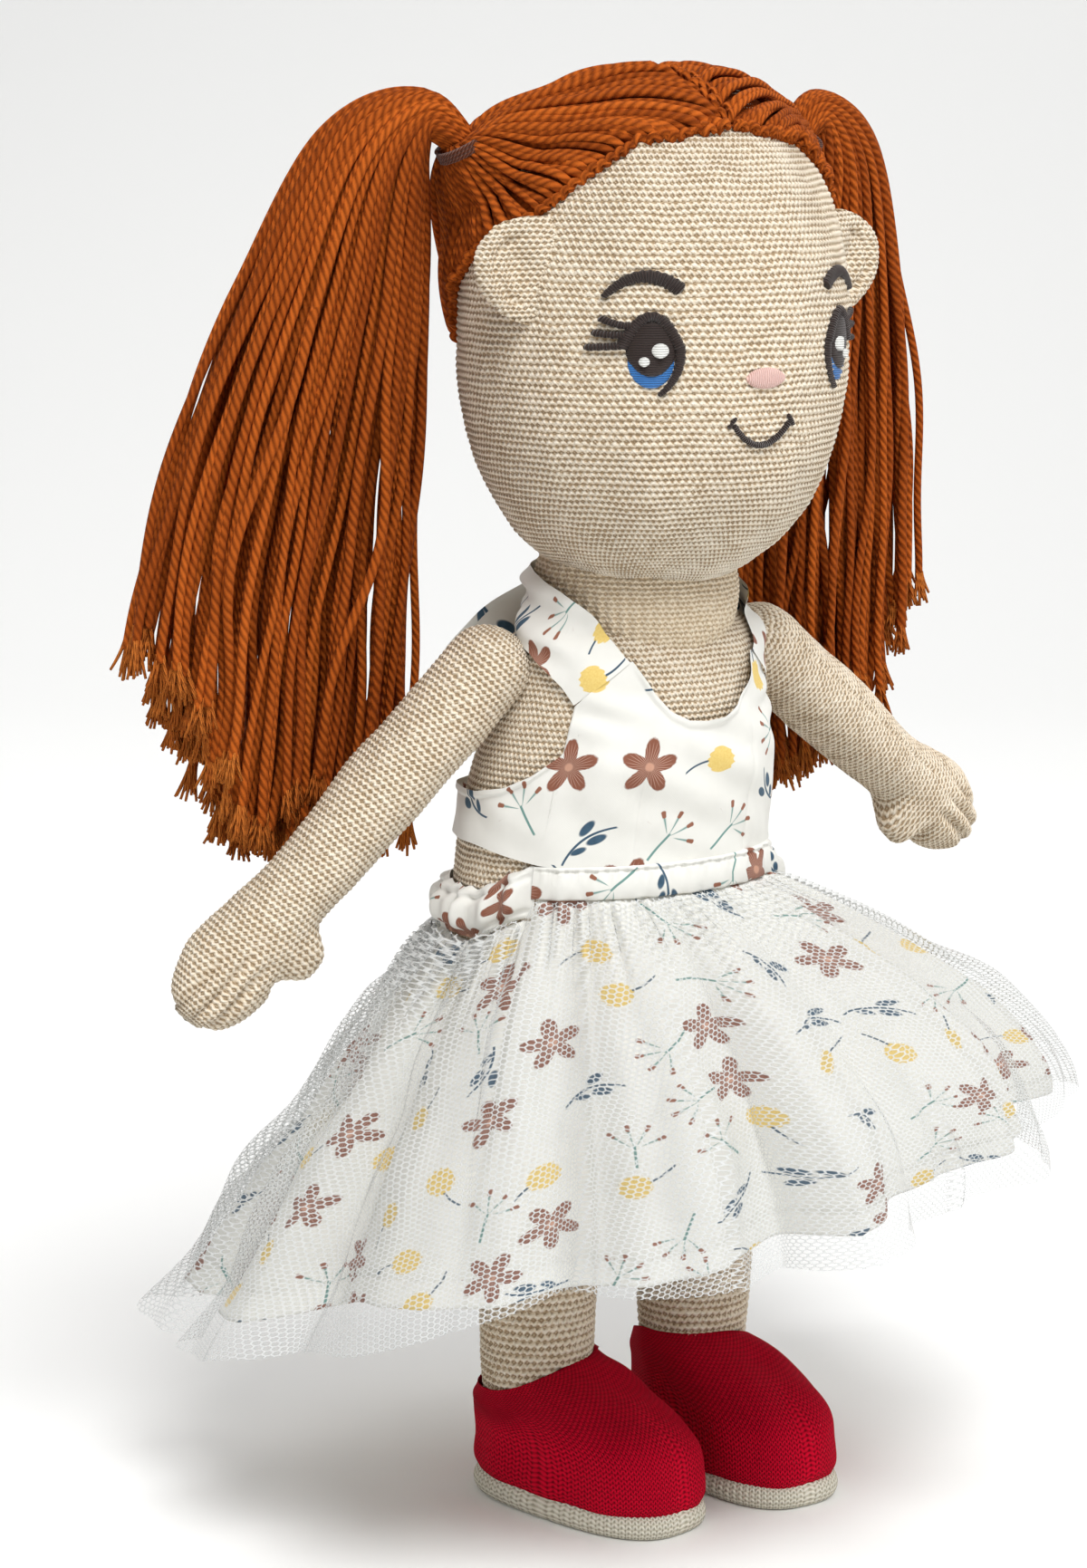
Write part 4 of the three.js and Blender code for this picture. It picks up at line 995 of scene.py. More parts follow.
def make_torso():
    """A stuffed pear: oval rings round the torso's middle line."""
    stations, along = evenly(TORSO, SPACING, slice(2, 5))
    grid = rings(stations, TORSO_COLUMNS)
    marks = stitch_marks(along, TORSO_COLUMNS, TORSO_STITCHES, BODY_ROW)
    grid = knitted(grid, marks, np.array([0, 0, TORSO_MIDDLE]), 0.4, 0.3, 11)
    skin = skin_of(grid, marks, closed=BOTH_ENDS)
    stuffed(skin, "torso", WOOL, "torso", ["torso_knit_cover", "torso_stuffing"])


def dome_rows(radius):
    """The round top of a limb, as rows of a half circle over its joint."""
    angles = np.radians([90, 62, 34])
    return [[0, 0, radius * math.sin(a), radius * math.cos(a), radius * math.cos(a)] for a in angles]


def about(axis, angle):
    """The matrix of a turn about the y or the z axis."""
    c, s = math.cos(angle), math.sin(angle)
    if axis == "y":
        return np.array([[c, 0, s], [0, 1, 0], [-s, 0, c]])
    return np.array([[c, -s, 0], [s, c, 0], [0, 0, 1]])


def arm_turn(side, tag):
    """Takes a hanging arm out to its side and a little back."""
    return about("z", side * ARM_SWEEP[tag]) @ about("y", -side * ARM_SPREAD[tag])


def make_arm(side, tag):
    """A tube of knit that ends in a mitten, with a thumb, finger dents and a seam."""
    rows = dome_rows(ARM_RADIUS)
    for along, width, depth in ARM_SHARES:
        flat = ARM_DEPTH_SHARE if along > 0 else 1
        rows.append([0, 0, -ARM_LENGTH * along, ARM_RADIUS * width, ARM_RADIUS * depth * flat])
    stations, along = evenly(smooth_path(rows, 24), ARM_SPACING, slice(2, 4))
    grid = rings(stations, ARM_COLUMNS)
    x, z = grid[..., 0], grid[..., 2]
    turn = np.linspace(0, TAU, ARM_COLUMNS, endpoint=False)
    inner = turn + math.radians(90 * side)
    inner = bell(np.arctan2(np.sin(inner), np.cos(inner)), 0.5)
    thumb = THUMB_REACH * np.exp(-(((z + THUMB_DOWN) / THUMB_WIDTH) ** 4)) * inner
    cleft = CLEFT_DEPTH * bell(z + CLEFT_DOWN, 2) * inner
    dents = sum(bell(x - place, 1.2) for place in (-FINGER_WIDTH, 0, FINGER_WIDTH))
    dents = FINGER_DENT * dents * smooth_step(-FINGER_ROOT_DOWN, -FINGER_END_DOWN, z)
    seam = SEAM_DEPTH * bell(turn - 0.25 * side, 0.06) * smooth_step(-FINGER_ROOT_DOWN, -WRIST_DOWN, z)
    axis = np.stack([np.zeros_like(z), np.zeros_like(z), z], axis=-1)
    at_tip = np.clip(np.linalg.norm(grid - axis, axis=-1) / 7, 0, 1)
    grid = grid + unit(grid - axis) * (thumb - cleft - dents * at_tip - seam)[..., None]
    marks = stitch_marks(along, ARM_COLUMNS, ARM_STITCHES, ARM_ROW)
    grid = knitted(grid, marks, np.array([0, 0, -ELBOW_DOWN]), 0.35, 0.35, 20 + side)
    grid = SHOULDER * [side, 1, 1] + grid @ arm_turn(side, tag).T
    skin = skin_of(grid, marks, closed=BOTH_ENDS)
    nodes = [f"arm_knit_cover_{tag}", f"arm_stuffing_{tag}"]
    stuffed(skin, f"arm_{tag}", WOOL, f"arm_{tag}", nodes)


def make_leg(side, tag):
    """A tube of knit with a dome at the hip, that narrows into the shoe."""
    rows = dome_rows(LEG_RADIUS)
    rows += [[0, 0, -HIP[2] * down, LEG_RADIUS * width, LEG_RADIUS * width] for down, width in LEG_SHARES]
    rows.append([0, 0, LEG_BOTTOM - HIP[2], 0, 0])
    stations, along = evenly(smooth_path(rows, 24), SPACING, slice(2, 4))
    stations[:, :3] += HIP * [side, 1, 1]
    grid = rings(stations, LEG_COLUMNS)
    marks = stitch_marks(along, LEG_COLUMNS, LEG_STITCHES, LEG_ROW)
    grid = knitted(grid, marks, np.array([side * HIP[0], 0, HIP[2] / 2]), 0.7, 0.4, 30 + side)
    skin = skin_of(grid, marks, closed=BOTH_ENDS)
    nodes = [f"leg_knit_cover_{tag}", f"leg_stuffing_{tag}"]
    stuffed(skin, f"leg_{tag}", WOOL, f"leg_{tag}", nodes)


def at_foot(grid, side, tag):
    """Takes a shoe's points from the middle to under its leg, with its toe turned."""
    return HIP * [side, 1, 0] + grid @ about("z", -side * TOE_IN[tag]).T


def make_shoe(side, tag):
    """A knitted upper: rings that shrink and move back to the ankle, with a rolled edge there."""
    base = SOLE_THICKNESS - SHOE_SUNK
    rows = [
        [
            0,
            -SHOE_FORWARD * forward,
            base + (SHOE_HEIGHT - base) * up,
            SHOE_HALF_WIDTH * width,
            SHOE_HALF_LENGTH * length,
        ]
        for up, length, forward, width in SHOE_SHARES
    ]
    for inward, rise in ((0, 0), (0.5, 0.5), (1, 0), (1, -4)):
        radius = ANKLE_RADIUS - SHOE_ROLL * inward
        rows.append([0, 0, SHOE_HEIGHT + SHOE_ROLL * rise, radius, radius])
    stations, along = evenly(smooth_path(rows, 20), SHOE_SPACING, slice(1, 5))
    rounder = (SHOE_SQUARENESS - 2) * smooth_step(0.55, 0.95, stations[:, 2:3] / SHOE_HEIGHT)
    grid = rings(stations, SHOE_COLUMNS, SHOE_SQUARENESS - rounder)
    marks = stitch_marks(along, SHOE_COLUMNS, SHOE_STITCHES, SHOE_ROW)
    centre = np.array([0, -SHOE_FORWARD, SHOE_MIDDLE])
    toe = lumps(grid, 18, 40 + side) * 0.5
    grid = grid + outward(grid, centre) * toe[..., None]
    outer_back = (grid[..., 0] * side + grid[..., 1]) / SHOE_HALF_WIDTH
    high = smooth_step(0.5, 1, grid[..., 2] / SHOE_HEIGHT)
    grid[..., 2] -= SHOE_RIM_DROP * high * smooth_step(-1, 1.2, outer_back)
    skin = skin_of(at_foot(grid, side, tag), marks)
    nodes = [f"shoe_upper_{tag}", f"toe_stuffing_{tag}"]
    inside = at_foot(centre, side, tag)
    stuffed(skin, f"shoe_{tag}", RED, f"leg_{tag}", nodes, inside)


def make_sole(side, tag):
    """A soft cream sole with knitted ribs round its swelling edge, flat underneath."""
    wide, long = SHOE_HALF_WIDTH, SHOE_HALF_LENGTH
    rows = [[0, -SHOE_FORWARD, 0, wide - 2 * SOLE_EDGE, long - 2 * SOLE_EDGE]]
    for share in np.linspace(0, 1, 14):
        swell = SOLE_EDGE * (1 - math.sin(share * math.pi) ** 0.6)
        rows.append([0, -SHOE_FORWARD, SOLE_THICKNESS * share, wide - swell, long - swell])
    rows.append([0, -SHOE_FORWARD, SOLE_THICKNESS, wide - 3 * SOLE_EDGE, long - 3 * SOLE_EDGE])
    stations, along = evenly(np.array(rows), SOLE_SPACING, slice(2, 5))
    grid = rings(stations, SOLE_COLUMNS, SHOE_SQUARENESS)
    turn = np.linspace(0, TAU, SOLE_COLUMNS, endpoint=False)
    rib = SOLE_RIB_DEPTH * np.cos(SOLE_RIBS * turn) * smooth_step(0, 1, grid[..., 2])
    middle = np.array([0, -SHOE_FORWARD, SOLE_THICKNESS / 2])
    grid = at_foot(grid + outward(grid, middle) * rib[..., None], side, tag)
    skin = skin_of(grid, stitch_marks(along, SOLE_COLUMNS, SOLE_RIBS, SOLE_ROW), closed=BOTH_ENDS)
    stuffed(skin, f"sole_{tag}", CREAM, f"leg_{tag}", [f"shoe_sole_{tag}"])


# Hair

# Rows of degrees from the nose and the height of the hair's edge over the head's centre
HAIRLINE_SHARES = [
    [0, 0.805],
    [40, 0.745],
    [60, 0.585],
    [74, 0.44],
    [95, 0.33],
    [124, 0.13],
    [155, -0.24],
    [180, -0.4],
]
# Rows of the pigtail's way out, back and down from its tie, and its half-width and half-depth
PIGTAIL_SHARES = [
    [-0.01, 0, 0.015, 0.11, 0.3],
    [0.06, 0.025, -0.035, 0.2, 0.46],
    [0.13, 0.07, 0.05, 0.48, 0.75],
    [0.165, 0.13, 0.27, 0.75, 0.96],
    [0.195, 0.185, 0.51, 0.96, 1],
    [0.215, 0.225, 0.74, 1.07, 1],
    [0.23, 0.24, 0.95, 1.1, 0.9],
    [0.255, 0.245, 1.17, 1.1, 0.8],
]


def hairline(degrees):
    """The level of the hair's edge at a turn in degrees from the nose."""
    turns, shares = np.array(HAIRLINE_SHARES).T
    return HEAD_CENTRE[2] + HEAD_HALF[2] * np.interp(np.abs(degrees), turns, shares)


def tie_place(side):
    """The middle of the tie, beside and a little behind the top of the head."""
    x = side * math.sin(TIE_TURN) * TIE_OUT
    return np.array([x, HEAD_CENTRE[1] - math.cos(TIE_TURN) * TIE_OUT, TIE_HEIGHT])


def tie_way(side):
    """The way that the bunch of hair runs through its tie, out of the head."""
    root = on_head(side * TIE_TURN, np.array(ROOT_HEIGHT), -HAIR_THICKNESS)
    return unit(tie_place(side) - root)


def cross_ways(way):
    """Two directions across a third."""
    first = unit(np.cross(way, UPWARD))
    return first, np.cross(way, first)


def bunch_places(side, count, radius, start_turn):
    """Places spread over the round bunch of hair inside the tie, on a spiral of golden angles."""
    k = np.arange(count) + 0.5
    reach = radius * np.sqrt(k / count)
    turn = k * math.pi * (3 - math.sqrt(5)) + start_turn
    first, second = cross_ways(tie_way(side))
    spread = first * np.cos(turn)[:, None] + second * np.sin(turn)[:, None]
    return tie_place(side) + spread * reach[:, None]


def hair_starts(side):
    """Where the strands are sewn: along the part over the crown, and along the hair's edge."""
    chance = np.random.default_rng(50 + side)
    angles = np.linspace(math.radians(60), math.radians(209.6), 60)
    way = np.stack([np.full_like(angles, 0.02 * side), -np.cos(angles), np.sin(angles)], axis=-1)
    part = over_head(HEAD_CENTRE + way * HEAD_HALF[2], np.full(len(angles), 0.4))
    degrees = np.linspace(3, 172, 64)
    edge = on_head(side * np.radians(degrees), hairline(degrees), 0.5)
    starts = np.concatenate([part, edge])
    return starts + chance.normal(scale=0.35, size=starts.shape)


def cap_paths(side):
    """Strands from the part and the edge, over the head, gathered into the tie.

    Each follows the shortest way over the head, in its own layer, and rises to its place in the
    bunch. Starts and places in the bunch are matched by their angle round the tie.
    """
    starts = hair_starts(side)
    chance = np.random.default_rng(60 + side)
    count = len(starts)
    ends = bunch_places(side, count, TIE_RADIUS * 0.8, 1.0)
    toward = starts - tie_place(side)
    order = np.argsort(np.arctan2(toward[:, 2], toward[:, 1]))
    spread = ends - tie_place(side)
    end_order = np.argsort(np.arctan2(spread[:, 2], spread[:, 1]))
    matched = np.empty_like(ends)
    matched[order] = ends[end_order]
    t = np.linspace(0, 1, 48)[None, :, None]
    chord = starts[:, None] * (1 - t) + matched[:, None] * t
    direction = unit(chord - HEAD_CENTRE)
    end_out = np.linalg.norm(matched - HEAD_CENTRE, axis=-1) - head_reach(unit(matched - HEAD_CENTRE))
    layer = chance.uniform(0.9, 2.6, count)[:, None]
    s = t[..., 0]
    rise = layer * smooth_step(0, 0.1, s) + (end_out[:, None] - layer) * smooth_step(0.45, 1, s)
    rise = rise + chance.uniform(0.3, 1.3, count)[:, None] * np.sin(math.pi * s)
    paths = HEAD_CENTRE + direction * (head_reach(direction) + rise)[..., None]
    sway = chance.normal(scale=0.5, size=(count, 1, 3)) * np.sin(math.pi * t)
    return paths + sway, starts


def make_hair_cap(side, tag):
    """A base layer in the darkest hair tone, as painted shade under the strands, strands drawn over it to
    the tie, and a stitch over each strand's start.
    """
    chance = np.random.default_rng(70 + side)
    skin = Skin()
    turns = np.linspace(0.3, 179.7, 90)
    low = hairline(turns)
    high = HEAD_CENTRE[2] + HEAD_HALF[2] * 0.9995
    share = np.linspace(0, 1, 60)[:, None]
    levels = low + (high - low) * np.sin(share * math.pi / 2)
    base = on_head(side * np.radians(turns)[None, :], levels, 0.7)
    # Painted shade: the base layer takes the darkest tone, for the shade beneath the strands.
    skin.add(base, stacked(share * 50, turns[None, :] / 30), tone=-0.9, wrapped=False)

    paths, starts = cap_paths(side)
    s = np.linspace(0, 1, paths.shape[1])
    radii = YARN_RADIUS * (1 - 0.42 * smooth_step(0.55, 1, s))
    add_yarn(skin, paths, radii, 6, chance)

    way = unit(np.gradient(starts, axis=0))
    up = unit(starts - HEAD_CENTRE)
    arch = np.linspace(-1, 1, 9)[None, :, None]
    loops = starts[:, None] + way[:, None] * arch * 1.7 + up[:, None] * (1.9 * (1 - arch**2) - 0.3)
    grid, marks = tubes(loops, 0.8, 6)
    skin.add(grid, marks, chance.uniform(-0.2, 0.8, len(loops)), closed=BOTH_ENDS)
    make(skin, f"hair_{tag}", HAIR, "head", [f"hair_cap_{tag}"], HEAD_CENTRE)


def add_yarn(skin, paths, radii, sides, chance):
    """Tubes of yarn along the paths, each of its own thickness and shade."""
    own = chance.uniform(0.9, 1.12, (len(paths), 1))
    grid, marks = tubes(paths, radii * own, sides)
    skin.add(grid, marks, chance.uniform(-0.5, 0.7, len(paths)), closed=BOTH_ENDS)


def make_tie(side, tag):
    """Thread wound three times round the bunch, as a flat helix."""
    first, second = cross_ways(tie_way(side))
    turn = np.linspace(0, TAU * TIE_WINDINGS, 130)
    radius = TIE_RADIUS + 2 * TIE_THREAD
    centre = tie_place(side) - tie_way(side) * TIE_BACK
    ring = first * np.cos(turn)[:, None] + second * np.sin(turn)[:, None]
    path = centre + ring * radius + tie_way(side) * (turn / TAU * TIE_PITCH)[:, None]
    skin = skin_of(*tubes(path[None], TIE_THREAD, 8), closed=BOTH_ENDS)
    make(skin, f"tie_{tag}", TIE, "head", [f"hair_tie_{tag}"])


def room_to_hang(paths, side, tag, chance):
    """The share of each strand that hangs free: above the arm, and no lower than its own end."""
    way = arm_turn(side, tag) @ -UPWARD
    offset = paths - SHOULDER * [side, 1, 1]
    along = np.clip(offset @ way, 0, ARM_LENGTH)
    gap = np.linalg.norm(offset - along[..., None] * way, axis=-1)
    flare = PIGTAIL_FLARE * smooth_step(*PIGTAIL_EDGE, np.abs(paths[..., 0]))
    end = PIGTAIL_END[tag] + flare + chance.uniform(-5, 5, (len(paths), 1))
    over = (gap < ARM_RADIUS + ROOM_OVER_ARM) | (paths[..., 2] < end)
    points = paths.shape[1] - 1
    return np.where(over.any(axis=1), over.argmax(axis=1), points) / points


def pigtail_paths(side, tag, count, reach, seed):
    """Strands that leave the tie upward, arch over and hang round the pigtail's middle line.

    Each keeps its own angle round the pigtail and its own share of the way out from its middle.
    A few hang looser than the rest.
    """
    chance = np.random.default_rng(seed)
    shares = smooth_path(PIGTAIL_SHARES, 20)
    narrow = PIGTAIL_WIDTH_SHARE[tag]
    out = PIGTAIL_DROP * shares[:, 0] + PIGTAIL_HALF_WIDTH * 0.8 * (narrow - 1) * shares[:, 2]
    middle = np.stack([side * out, PIGTAIL_DROP * shares[:, 1], -PIGTAIL_DROP * shares[:, 2]], axis=1)
    middle = tie_place(side) + middle
    half_width = PIGTAIL_HALF_WIDTH * narrow * shares[:, 3] - YARN_RADIUS
    half_depth = PIGTAIL_HALF_DEPTH * shares[:, 4] - YARN_RADIUS
    rows, _ = evenly(np.column_stack([middle, half_width, half_depth]), STRAND_SPACING)
    along = unit(np.gradient(rows[:, :3], axis=0))
    depthways = unit(np.array([0, 1, 0]) - along * along[:, 1:2])
    sideways = np.cross(depthways, along)
    sideways = sideways * np.sign(sideways[len(rows) // 2, 0] * side)
    turn = np.linspace(0, TAU, count, endpoint=False) + chance.uniform(-0.06, 0.06, count)
    share = reach * chance.uniform(0.88, 1.04, count)
    across = (np.cos(turn) * share)[:, None] * rows[:, 3]
    deep = (np.sin(turn) * share)[:, None] * rows[:, 4]
    s = np.linspace(0, 1, len(rows))
    phase = chance.uniform(0, TAU, (count, 4))
    loose = np.where(chance.random(count) < 0.14, 2.3, 1)[:, None]
    sway = STRAND_SWAY * smooth_step(0.08, 0.7, s) * loose
    across = across + sway * np.sin(TAU * 1.1 * s + phase[:, :1]) * chance.uniform(0.3, 1, (count, 1))
    across = across + sway * 0.4 * np.sin(TAU * 2.7 * s + phase[:, 1:2])
    deep = deep + sway * np.sin(TAU * 0.9 * s + phase[:, 2:3]) * chance.uniform(0.3, 1, (count, 1))
    paths = rows[None, :, :3] + across[..., None] * sideways + deep[..., None] * depthways
    return cut_short(paths, room_to_hang(paths, side, tag, chance))


def cut_short(paths, stop):
    """Each path as far as its own share of the way, with the same number of points."""
    count, points = paths.shape[:2]
    at = np.linspace(0, 1, points)[None, :] * stop[:, None] * (points - 1)
    k = np.minimum(at.astype(int), points - 2)
    s = (at - k)[..., None]
    row = np.arange(count)[:, None]
    return paths[row, k] * (1 - s) + paths[row, k + 1] * s


def add_tufts(skin, paths, chance):
    """A flared brush of loose fibres at the cut end of each strand."""
    ends = paths[:, -1]
    way = unit(paths[:, -1] - paths[:, -5])
    count = len(ends)
    angle = chance.uniform(0, TAU, (count, TUFT_FIBRES))
    first = unit(np.cross(way, [0.2, 0.9, 0.3]))
    second = np.cross(way, first)
    ring = first[:, None] * np.cos(angle)[..., None] + second[:, None] * np.sin(angle)[..., None]
    reach = np.sqrt(chance.uniform(0.05, 1, (count, TUFT_FIBRES)))[..., None]
    length = chance.uniform(*TUFT_LENGTHS, (count, TUFT_FIBRES))[..., None]
    t = np.linspace(0, 1, 5)[None, None, :, None]
    flare = YARN_RADIUS * 0.75 + TUFT_FLARE * t**1.4
    base = ends[:, None, None] - way[:, None, None] * 2
    brush = base + way[:, None, None] * length[:, :, None] * t + (ring * reach)[:, :, None] * flare
    brush = brush.reshape(count * TUFT_FIBRES, 5, 3)
    grid, marks = tubes(brush, np.array([0.5, 0.48, 0.44, 0.4, 0.34])[None, :], 4)
    skin.add(grid, marks, np.repeat(chance.uniform(-0.2, 0.9, count), TUFT_FIBRES), closed=BOTH_ENDS)


def make_pigtail(side, tag):
    """Three rings of strands inside each other, the outer ones rounder, with tufts at their ends."""
    chance = np.random.default_rng(80 + side)
    skin = Skin()
    tufts = Skin()
    for count, reach, sides, seed in ((48, 1.0, 8, 90), (36, 0.7, 6, 94), (24, 0.4, 5, 98)):
        paths = pigtail_paths(side, tag, count, reach, seed + side)
        s = np.linspace(0, 1, paths.shape[1])
        add_yarn(skin, paths, YARN_RADIUS * (0.62 + 0.38 * smooth_step(0, 0.16, s)), sides, chance)
        add_tufts(tufts, paths, chance)
    node = f"pigtail_{tag}"
    make(skin, f"pigtail_strands_{tag}", HAIR, node, [node])
    make(tufts, f"pigtail_tufts_{tag}", TUFT, node, [node])


# Embroidered face


def bent(points, t):
    """A value along the curve with these three control points."""
    return points[0] * (1 - t) ** 2 + points[1] * 2 * t * (1 - t) + points[2] * t * t


def stroke(points, widths, count, lift=0.9):
    """A satin stitch band along a curve through three points, as x and z on the face."""
    t = np.linspace(0, 1, count)[:, None]
    middle = bent(np.asarray(points, float), t)
    way = unit(np.gradient(middle, axis=0))
    across = np.stack([-way[:, 1], way[:, 0]], axis=1)
    half = bent(widths, t) / 2
    v = np.linspace(-1, 1, 11)
    steps = np.linalg.norm(np.diff(middle, axis=0), axis=1)
    length = np.concatenate([[0], np.cumsum(steps)])
    ends = np.minimum(1, np.minimum(length, length[-1] - length) / 0.5)[:, None]
    ragged = 1 + 0.08 * np.sin(length * TAU / THREAD_WIDTH / 2.3)[:, None]
    flat = middle[:, None] + across[:, None] * (half * np.sqrt(ends) * ragged * v)[..., None]
    return satin(flat, length, v * half, v, lift * np.sqrt(ends))


def satin(flat, length, across, v, lift):
    """Raises a flat band of x and z off the face, with a ridge for every stitch."""
    dome = np.sqrt(np.clip(1 - v**2, 0, 1))
    ridge = 0.16 * np.abs(np.sin(length * math.pi / THREAD_WIDTH))[:, None]
    out = -0.3 + (lift + ridge) * dome + 0.3 * lift
    grid = on_face(flat[..., 0], flat[..., 1], out)
    return grid, stacked(length[:, None], across)


def oval(x, z, half_width, half_height, upright=False, lift=0.8, cut_top=1.0):
    """A satin stitch oval. Its stitches run across, or up and down if upright."""
    s = np.linspace(-1, cut_top, 70)
    v = np.linspace(-1, 1, 15)
    width = np.sqrt(np.clip(1 - s**2, 0, 1))
    first = s[:, None] * np.ones_like(v)
    second = width[:, None] * v
    if upright:
        flat = np.stack([x + half_width * first, z + half_height * second], axis=-1)
        length = s * half_width
    else:
        flat = np.stack([x + half_width * second, z + half_height * first], axis=-1)
        length = s * half_height
    soft = np.minimum(1, width * 2.2)[:, None]
    return satin(flat, length + 20, second * half_width, v, lift * np.sqrt(soft))


def stitched(name, material, slot, node, *bands):
    """A piece of embroidery on the head, made of its bands."""
    skin = Skin()
    for grid, marks in bands:
        skin.add(grid, marks, wrapped=False)
    make(skin, name, material, "head", [node], HEAD_CENTRE)


def make_lid(side, tag, middle):
    """The lid's arch over the eye, its tail round the inner side, and three lashes."""
    outer, inner = middle + side * EYE_HALF_WIDTH, middle - side * EYE_HALF_WIDTH
    top, end = EYE_HEIGHT + EYE_HALF_HEIGHT * 1.1, EYE_HEIGHT + EYE_HALF_HEIGHT * 0.15
    lid = np.array([[outer, end], [middle, top * 2 - end], [inner, end]])
    bands = [stroke(lid, [LID_THICKNESS] * 3, 150, 1.1)]
    tail = [
        [inner + side * 0.1, end + 1],
        [inner - side * 0.9, EYE_HEIGHT - 5],
        [middle - side * 1.5, EYE_HEIGHT - 9.6],
    ]
    bands.append(stroke(tail, [LID_THICKNESS, 1.9, 1.2], 90))
    for along, rise in ((0.03, -0.1), (0.13, 0.1), (0.24, 0.35)):
        x, z = bent(lid, along)
        tip = x + side * LASH_LENGTH
        lash = [[x, z], [(x + tip) / 2, z - 0.4], [tip, z + 5.4 * rise]]
        bands.append(stroke(lash, [1.9, 1.6, 1.7], 50, 1.1))
    stitched(f"lid_{tag}", DARK, "dark_thread", f"lid_and_lashes_{tag}", *bands)


def make_eye(side, tag):
    """A lid, a blue crescent under a black pupil, two white lights, and a brow."""
    middle = side * HEAD_HALF[1] * math.sin(EYE_TURN)
    wide, tall = EYE_HALF_WIDTH, EYE_HALF_HEIGHT
    make_lid(side, tag, middle)
    under = LID_THICKNESS + 0.6
    low = EYE_HEIGHT - under / 2
    reach = wide - LID_THICKNESS / 2
    blue = oval(middle, low, reach, tall - under / 2, lift=0.55, cut_top=0.5)
    stitched(f"iris_{tag}", BLUE, "blue_thread", f"iris_crescent_{tag}", blue)
    black = oval(middle, low + tall * 0.34, reach * 1.08, tall * 0.8, lift=0.95)
    stitched(f"pupil_of_eye_{tag}", DARK, "dark_thread", f"pupil_{tag}", black)
    big = oval(middle - side * wide * 0.28, EYE_HEIGHT + tall * 0.12, 1.9, 1.7, lift=1.7)
    stitched(f"highlight_1_{tag}", WHITE, "white_thread", f"eye_highlight_1_{tag}", big)
    small = oval(middle + side * wide * 0.25, EYE_HEIGHT - tall * 0.2, 1.2, 1.1, lift=1.6)
    stitched(f"highlight_2_{tag}", WHITE, "white_thread", f"eye_highlight_2_{tag}", small)
    brow = [
        [middle + side * BROW_HALF_LENGTH, BROW_HEIGHT - BROW_RISE],
        [middle + side * BROW_HALF_LENGTH * 0.2, BROW_HEIGHT + BROW_RISE * 2],
        [middle - side * BROW_HALF_LENGTH * 0.75, BROW_HEIGHT - BROW_RISE / 2],
    ]
    band = stroke(brow, [BROW_THICKNESS / 3, BROW_THICKNESS, BROW_THICKNESS], 150, 1.1)
    stitched(f"eyebrow_{tag}", DARK, "dark_thread", f"brow_{tag}", band)


def make_nose_and_mouth():
    """A pink oval, and a curved line with a short tick at each corner."""
    nose = oval(0, NOSE_HEIGHT, NOSE_HALF_WIDTH, NOSE_HALF_HEIGHT, upright=True)
    stitched("nose_patch", PINK, "pink_thread", "nose", nose)
    smile = [
        [-MOUTH_HALF_WIDTH, MOUTH_HEIGHT],
        [0, MOUTH_HEIGHT - MOUTH_DROP * 2],
        [MOUTH_HALF_WIDTH, MOUTH_HEIGHT],
    ]
    bands = [stroke(smile, [MOUTH_THICKNESS] * 3, 150, 0.8)]
    for side, _ in SIDES:
        x, z = side * MOUTH_HALF_WIDTH, MOUTH_HEIGHT
        tick = [[x - side * 0.8, z + 1.6], [x + side * 0.4, z + 0.4], [x + side * 1.2, z - 1.2]]
        bands.append(stroke(tick, [1.1, 1.3, 1.1], 30, 0.8))
    stitched("smile", DARK, "dark_thread", "mouth", *bands)


# Dress

# Rows of degrees from the front and the height of the bodice's top edge over its band
BIB_SHARES = [
    [0, 0.71],
    [8, 0.72],
    [16, 0.77],
    [23, 0.86],
    [28, 0.95],
    [32, 1.02],
    [45, 0.93],
    [56, 0.8],
    [51, 0.68],
    [57, 0.56],
    [67, 0.45],
    [78, 0.38],
    [94, 0.34],
    [120, 0.33],
    [150, 0.32],
    [180, 0.315],
]
# Rows of degrees and height for a strap's upper edge, then for its lower edge
STRAP_SHARES = [
    [32, 1.02, 55.5, 0.81],
    [45, 1.17, 65, 0.93],
    [61, 1.29, 78, 1.03],
    [84, 1.38, 95, 1.115],
    [112, 1.435, 117, 1.2],
    [145, 1.455, 145, 1.25],
    [174, 1.445, 174, 1.26],
]


def torso_at(z):
    """The middle, half-width and half-depth of the torso at a level."""
    return [np.interp(z, TORSO[:, 2], TORSO[:, column]) for column in (1, 3, 4)]


def body_at(turn, z, out):
    """The dress's surface: the torso with the neck's ball above it, at a turn and a level.

    Over the torso, turns are spread as on its oval. The two are blended where they meet.
    """
    centre, wide, deep = torso_at(z)
    _, broad, narrow = torso_at(np.minimum(z, TORSO_TOP - 5))
    spread = 1 + (broad / narrow - 1) * smooth_step(TORSO_TOP + 12, TORSO_TOP - 14, z)
    way = unit(np.stack([spread * np.sin(turn), -np.cos(turn)], axis=-1))
    out_wide, out_deep = wide + out + 0.01, deep + out + 0.01
    radius = 1 / np.hypot(way[..., 0] / out_wide, way[..., 1] / out_deep)
    to_neck = NECK_CENTRE[1] - centre
    near = way[..., 1] * to_neck
    off = (way[..., 0] * to_neck) ** 2
    room = (NECK_RADIUS + out + 0.4) ** 2 - (z - NECK_CENTRE[2]) ** 2 - off
    neck = np.where(room > 0, near + np.sqrt(np.maximum(room, 0)), 0)
    both = np.logaddexp(radius * 0.8, neck * 0.8) / 0.8
    reach = np.where(room > 0, both, radius)
    return np.stack([way[..., 0] * reach, centre + way[..., 1] * reach, z], axis=-1)


